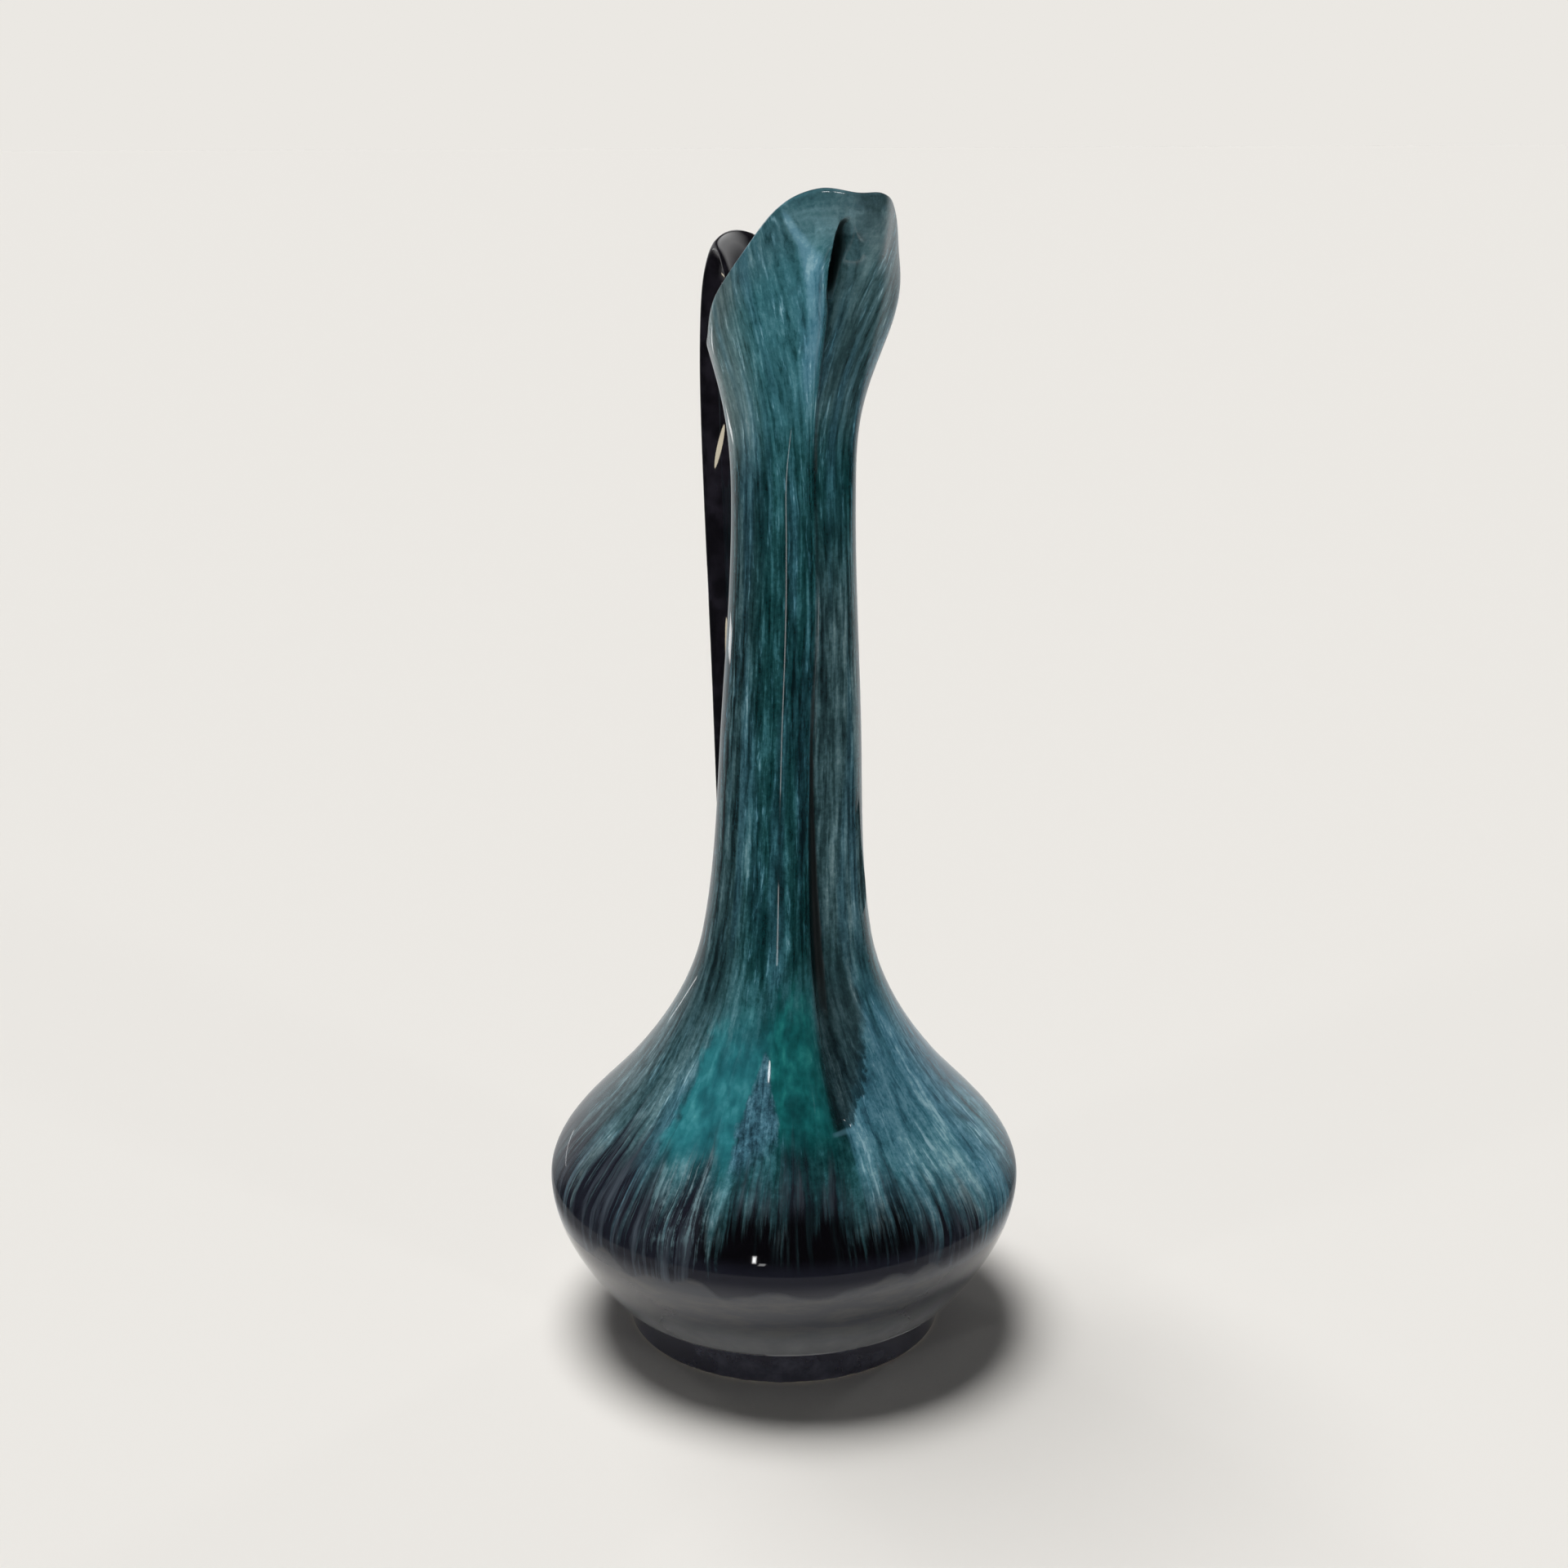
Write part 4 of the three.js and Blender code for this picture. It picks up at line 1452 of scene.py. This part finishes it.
@dataclass(frozen=True)
class Card:
    """A card that only reflections see, and only from its front. Its places are in millimetres."""

    name: str
    corners: tuple[Place, ...]
    faces: Place
    light: float
    soft: bool = False

    def build(self) -> bpy.types.Object:
        """Hangs the card, whose light fades out towards its edges where it is soft.

        Returns:
            The card, still seen by the camera.
        """
        corners = [Vector(corner) for corner in self.corners]
        a, b, c = corners[:3]
        if (b - a).cross(c - a).dot(Vector(self.faces) - a) < 0:
            corners = corners[::-1]
        middle = sum(corners, Vector()) / len(corners)
        count = len(corners)
        mesh = bpy.data.meshes.new(self.name)
        points = [tuple(corner * MM) for corner in [*corners, middle]]
        mesh.from_pydata(points, [], [(i, (i + 1) % count, count) for i in range(count)])
        layer = mesh.attributes.new("glow", "FLOAT", "POINT")
        layer.data.foreach_set("value", [0.0 if self.soft else 1.0] * count + [1.0])
        mesh.materials.append(self.material())
        return add_object(self.name, mesh)

    def material(self) -> bpy.types.Material:
        """Makes the card's light, and lets what is behind it show through its back.

        Returns:
            The card's material.
        """
        material, g, emission, surface = new_light_material(self.name)
        glow = Field(g, g.node("ShaderNodeAttribute", attribute_name="glow").outputs["Fac"])
        g.feed(emission.inputs["Strength"], glow.rise(0.0, CARD_FADE) * self.light)
        either = g.node("ShaderNodeMixShader")
        g.feed(either.inputs[0], g.node("ShaderNodeNewGeometry").outputs["Backfacing"])
        g.feed(either.inputs[1], emission.outputs[0])
        g.feed(either.inputs[2], g.node("ShaderNodeBsdfTransparent").outputs[0])
        g.feed(surface, either.outputs[0])
        return material


@dataclass(frozen=True)
class Glint:
    """A small oval lamp that only reflections see. Its places are in millimetres."""

    name: str
    start: Place
    end: Place
    width: float
    faces: Place
    light: float
    tint: Colour = (1.0, 1.0, 1.0)

    def build(self) -> None:
        """Hangs the lamp, drawn out from its start to its end."""
        start, end = Vector(self.start), Vector(self.end)
        middle = (start + end) / 2
        along = (end - start).normalized()
        back = middle - Vector(self.faces)
        back = (back - along * back.dot(along)).normalized()
        lamp = bpy.data.lights.new(self.name, "AREA")
        lamp.shape = "ELLIPSE"
        lamp.size, lamp.size_y = (end - start).length * MM, self.width * MM
        lamp.energy = self.light * math.pi * lamp.size * lamp.size_y
        lamp.color = self.tint
        obj = add_object(self.name, lamp)
        obj.location = middle * MM
        turn_to(obj, Matrix((along, back.cross(along), back)).transposed().to_quaternion())
        obj.visible_camera = False
        obj.visible_diffuse = False
        obj.visible_transmission = False


CARDS = (
    # The pale strip draws the line down the neck, and its end makes the speck on the belly.
    Card("strip", sector(500, STRIP_END, *STRIP_SIDES, STRIP_LEVEL), POT_MIDDLE, STRIP_LIGHT),
    Card("strip_end", upright(STRIP_END, *STRIP_SIDES, STRIP_LEVEL, STRIP_TOP), POT_MIDDLE, STRIP_LIGHT),
    Card(
        "sill",
        ((-63.4, -109, 46), (-66.6, -107, 46), (-66.6, -107, 66), (-63.4, -109, 66)),
        (-31, -59, 49),
        18.0,
        soft=True,
    ),
    Card("back_light", sector(980, 1110, -166, -152, 10), POT_MIDDLE, 3.0),
    Card(
        "arch_sheen",
        ((-75, 2, 335), (20, 2, 335), (20, 110, 335), (-75, 110, 335)),
        ARCH,
        2.0,
        soft=True,
    ),
    # The shades keep the surround's light off the shoulder and the lip.
    Card(
        "shoulder_shade",
        (around(45, 55, 120), around(45, 125, 120), around(140, 115, 120), around(140, 60, 120)),
        (0, 0, 300),
        DIM,
    ),
    Card(
        "lip_shade",
        ((-80, -110, 248), (-40, -136, 248), (-40, -136, 314), (-80, -110, 314)),
        LIP_FRONT,
        DIM,
    ),
)

GLINTS = (
    Glint("rim_left", (-22, -64, 327), (-11, -65, 327), 7.0, LIP_FRONT, 8.0),
    Glint("rim_right", (-8, -64, 327), (3, -65, 327), 7.0, LIP_FRONT, 8.0),
    Glint("window", (-30.9, -51.2, 109.8), (-31.2, -51.6, 106.9), 1.5, (-17, -31, 91), 9.0),
    Glint("strap_high", (0, 19.6, 253.0), (-21, 26.0, 241.5), 4.4, ARCH, 7.0, WARM),
    Glint("strap_low", (-7, 27, 199), (-8.6, 27, 183), 3.4, (0, 45, 190), 7.0, WARM),
)


@dataclass
class Studio:
    """A pale floor, soft lamps, a dim surround for the reflections, and the camera.

    The camera's and the aim's places are in millimetres, and the other lengths in metres.
    """

    pale: Colour = srgb(0xEBE8E3)
    camera_place: Place = (-215.0, -560.1, 335.35)
    camera_aim: Place = (0.0, 0.0, 160.0)
    lens: float = 51.92
    floor_size: float = 60.0
    ambient: float = 0.02
    overhead: float = 0.955
    overhead_towards: Place = (0.10, -0.21, -1.0)
    overhead_spread: float = 30.0
    sides: float = 0.26
    side_azimuths: tuple[float, ...] = (-75.0, 30.0, 120.0, -165.0)
    side_elevation: float = 3.0
    side_spread: float = 5.0
    surround_radius: float = 1.4
    table_radius: float = 0.086
    table_near: float = 0.145
    table_lift: float = 0.001
    near: float = 0.17
    nearest: float = 0.5
    near_fade: float = 0.025
    near_edge: float = 0.003
    bright: float = 0.52
    bright_facing: tuple[float, float] = (-0.4, -0.92)
    bright_heights: tuple[float, float] = (0.75, 0.4)

    def light(self) -> None:
        """Makes the world and the lamps."""
        world = bpy.data.worlds.new("studio")
        bpy.context.scene.world = world
        world.use_nodes = True
        g = Graph(world.node_tree)
        background = world.node_tree.nodes["Background"]
        path = g.node("ShaderNodeLightPath")
        seen = Field(g, path.outputs["Is Camera Ray"]) + Field(g, path.outputs["Is Glossy Ray"])
        seen = seen + Field(g, path.outputs["Is Transmission Ray"])
        g.feed(background.inputs["Color"], g.mix(seen, (self.ambient,) * 3, self.pale))
        self.sun("overhead", self.overhead_towards, self.overhead, self.overhead_spread)
        for azimuth in self.side_azimuths:
            away = polar(azimuth, self.side_elevation, -1.0)
            self.sun(f"side_{azimuth:.0f}", tuple(away), self.sides, self.side_spread)

    def sun(self, name: str, towards: Place, light: float, spread: float) -> None:
        """Adds a soft lamp from one direction that leaves no mark in the reflections.

        Args:
            name: The lamp's name.
            towards: The direction that it shines in.
            light: How bright it makes white that faces it.
            spread: The lamp's width in degrees.
        """
        lamp = bpy.data.lights.new(name, "SUN")
        lamp.energy = light * math.pi
        lamp.angle = math.radians(spread)
        obj = add_object(name, lamp)
        turn_to(obj, Vector(towards).to_track_quat("-Z", "Y"))
        obj.visible_glossy = False

    def floor(self) -> None:
        """Lays the pale floor."""
        bpy.ops.object.select_all(action="DESELECT")
        bpy.ops.mesh.primitive_plane_add(size=self.floor_size, location=(0, 0, 0))
        floor = bpy.context.object
        floor.name = "floor"
        material, g, shader = new_material("floor")
        g.feed(shader.inputs["Base Color"], self.pale)
        shader.inputs["Roughness"].default_value = 1.0
        shader.inputs["Specular IOR Level"].default_value = 0.0
        floor.data.materials.append(material)

    def surround(self) -> None:
        """Hangs a surround that only reflections see: a dark room in front, pale walls to the sides."""
        bpy.ops.object.select_all(action="DESELECT")
        bpy.ops.mesh.primitive_uv_sphere_add(segments=64, ring_count=32, radius=self.surround_radius)
        room = bpy.context.object
        room.name = "surround"
        bpy.ops.object.mode_set(mode="EDIT")
        bpy.ops.mesh.select_all(action="SELECT")
        bpy.ops.mesh.bisect(plane_co=(0, 0, self.table_lift), plane_no=(0, 0, -1), clear_outer=True)
        bpy.ops.object.mode_set(mode="OBJECT")
        bpy.ops.object.select_all(action="DESELECT")
        bpy.ops.mesh.primitive_circle_add(vertices=96, radius=self.surround_radius, location=(0, 0, 0))
        table = bpy.context.object
        table.name = "table_end"
        bpy.ops.object.mode_set(mode="EDIT")
        bpy.ops.mesh.select_all(action="SELECT")
        bpy.ops.mesh.extrude_edges_move()
        shrink = self.table_radius / self.surround_radius
        bpy.ops.transform.resize(value=(shrink, shrink, 1), center_override=(0, 0, 0))
        bpy.ops.mesh.select_all(action="SELECT")
        bpy.ops.transform.translate(value=(0, 0, self.table_lift))
        bpy.ops.object.mode_set(mode="OBJECT")
        for card in (room, table):
            self.glow(card)

    def marks(self) -> None:
        """Hangs the cards and the small lamps whose marks show in the glaze."""
        for card in CARDS:
            self.reflect_only(card.build())
        for glint in GLINTS:
            glint.build()

    def reflect_only(self, obj: bpy.types.Object) -> None:
        """Hides a card from all but the reflections.

        Args:
            obj: The card.
        """
        obj.visible_camera = False
        obj.visible_diffuse = False
        obj.visible_shadow = False
        obj.visible_transmission = False

    def glow(self, obj: bpy.types.Object) -> None:
        """Lights a card for reflections alone: dark towards the camera, pale to the sides.

        Args:
            obj: The card.
        """
        material, g, emission, surface = new_light_material(obj.name)
        x, y, z = g.parts(g.node("ShaderNodeTexCoord").outputs["Object"])
        reach = g.math("SQRT", x * x + y * y)
        ahead = Vector(self.camera_place[:2]).normalized()
        facing = (x * ahead.x + y * ahead.y).over(g.math("MAXIMUM", reach, 0.01))
        strength = facing.rise(*self.bright_facing) * z.rise(*self.bright_heights) * self.bright
        near = reach.rise(self.table_near + self.near_edge, self.table_near - self.near_edge) * self.near
        nearest = reach.rise(self.table_near - self.near_fade, self.table_radius) * self.nearest
        strength = strength + (near + nearest) * z.rise(0.02, 0.01) + DIM
        g.feed(emission.inputs["Strength"], strength)
        g.feed(surface, emission.outputs[0])
        obj.data.materials.clear()
        obj.data.materials.append(material)
        self.reflect_only(obj)

    def camera(self) -> None:
        """Sets the camera at the portrait's angle."""
        data = bpy.data.cameras.new("camera")
        data.lens = self.lens
        data.sensor_width = 36.0
        data.clip_start, data.clip_end = 0.01, 100.0
        camera = add_object("camera", data)
        place = Vector(self.camera_place) * MM
        camera.location = place
        turn_to(camera, (Vector(self.camera_aim) * MM - place).to_track_quat("-Z", "Y"))
        bpy.context.scene.camera = camera


def main() -> None:
    """Builds the pot, its foot and its handle, and sets the studio."""
    logging.basicConfig(level=logging.INFO, format="%(name)s: %(message)s")
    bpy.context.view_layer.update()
    bpy.context.scene.view_settings.view_transform = "Standard"
    studio = Studio()
    studio.camera()
    studio.floor()
    studio.surround()
    studio.marks()
    studio.light()
    running = RunningGlaze().material()
    handle_glaze = DarkGlaze("handle_glaze", srgb(0x111015), srgb(0x25232B)).material()
    foot_glaze = DarkGlaze("foot_glaze", srgb(0x2B2B34), srgb(0x3B3C46)).material()
    pot = Pot()
    finish_piece(pot.build(), running, [Part.BODY, Part.NECK, Part.LIP])
    finish_piece(FootRing().build(), foot_glaze, [Part.FOOT])
    handle = Strap(pot).build()
    finish_piece(handle, handle_glaze, [Part.HANDLE, Part.UPPER_COLLAR, Part.LOWER_COLLAR])


if __name__ == "__main__":
    main()
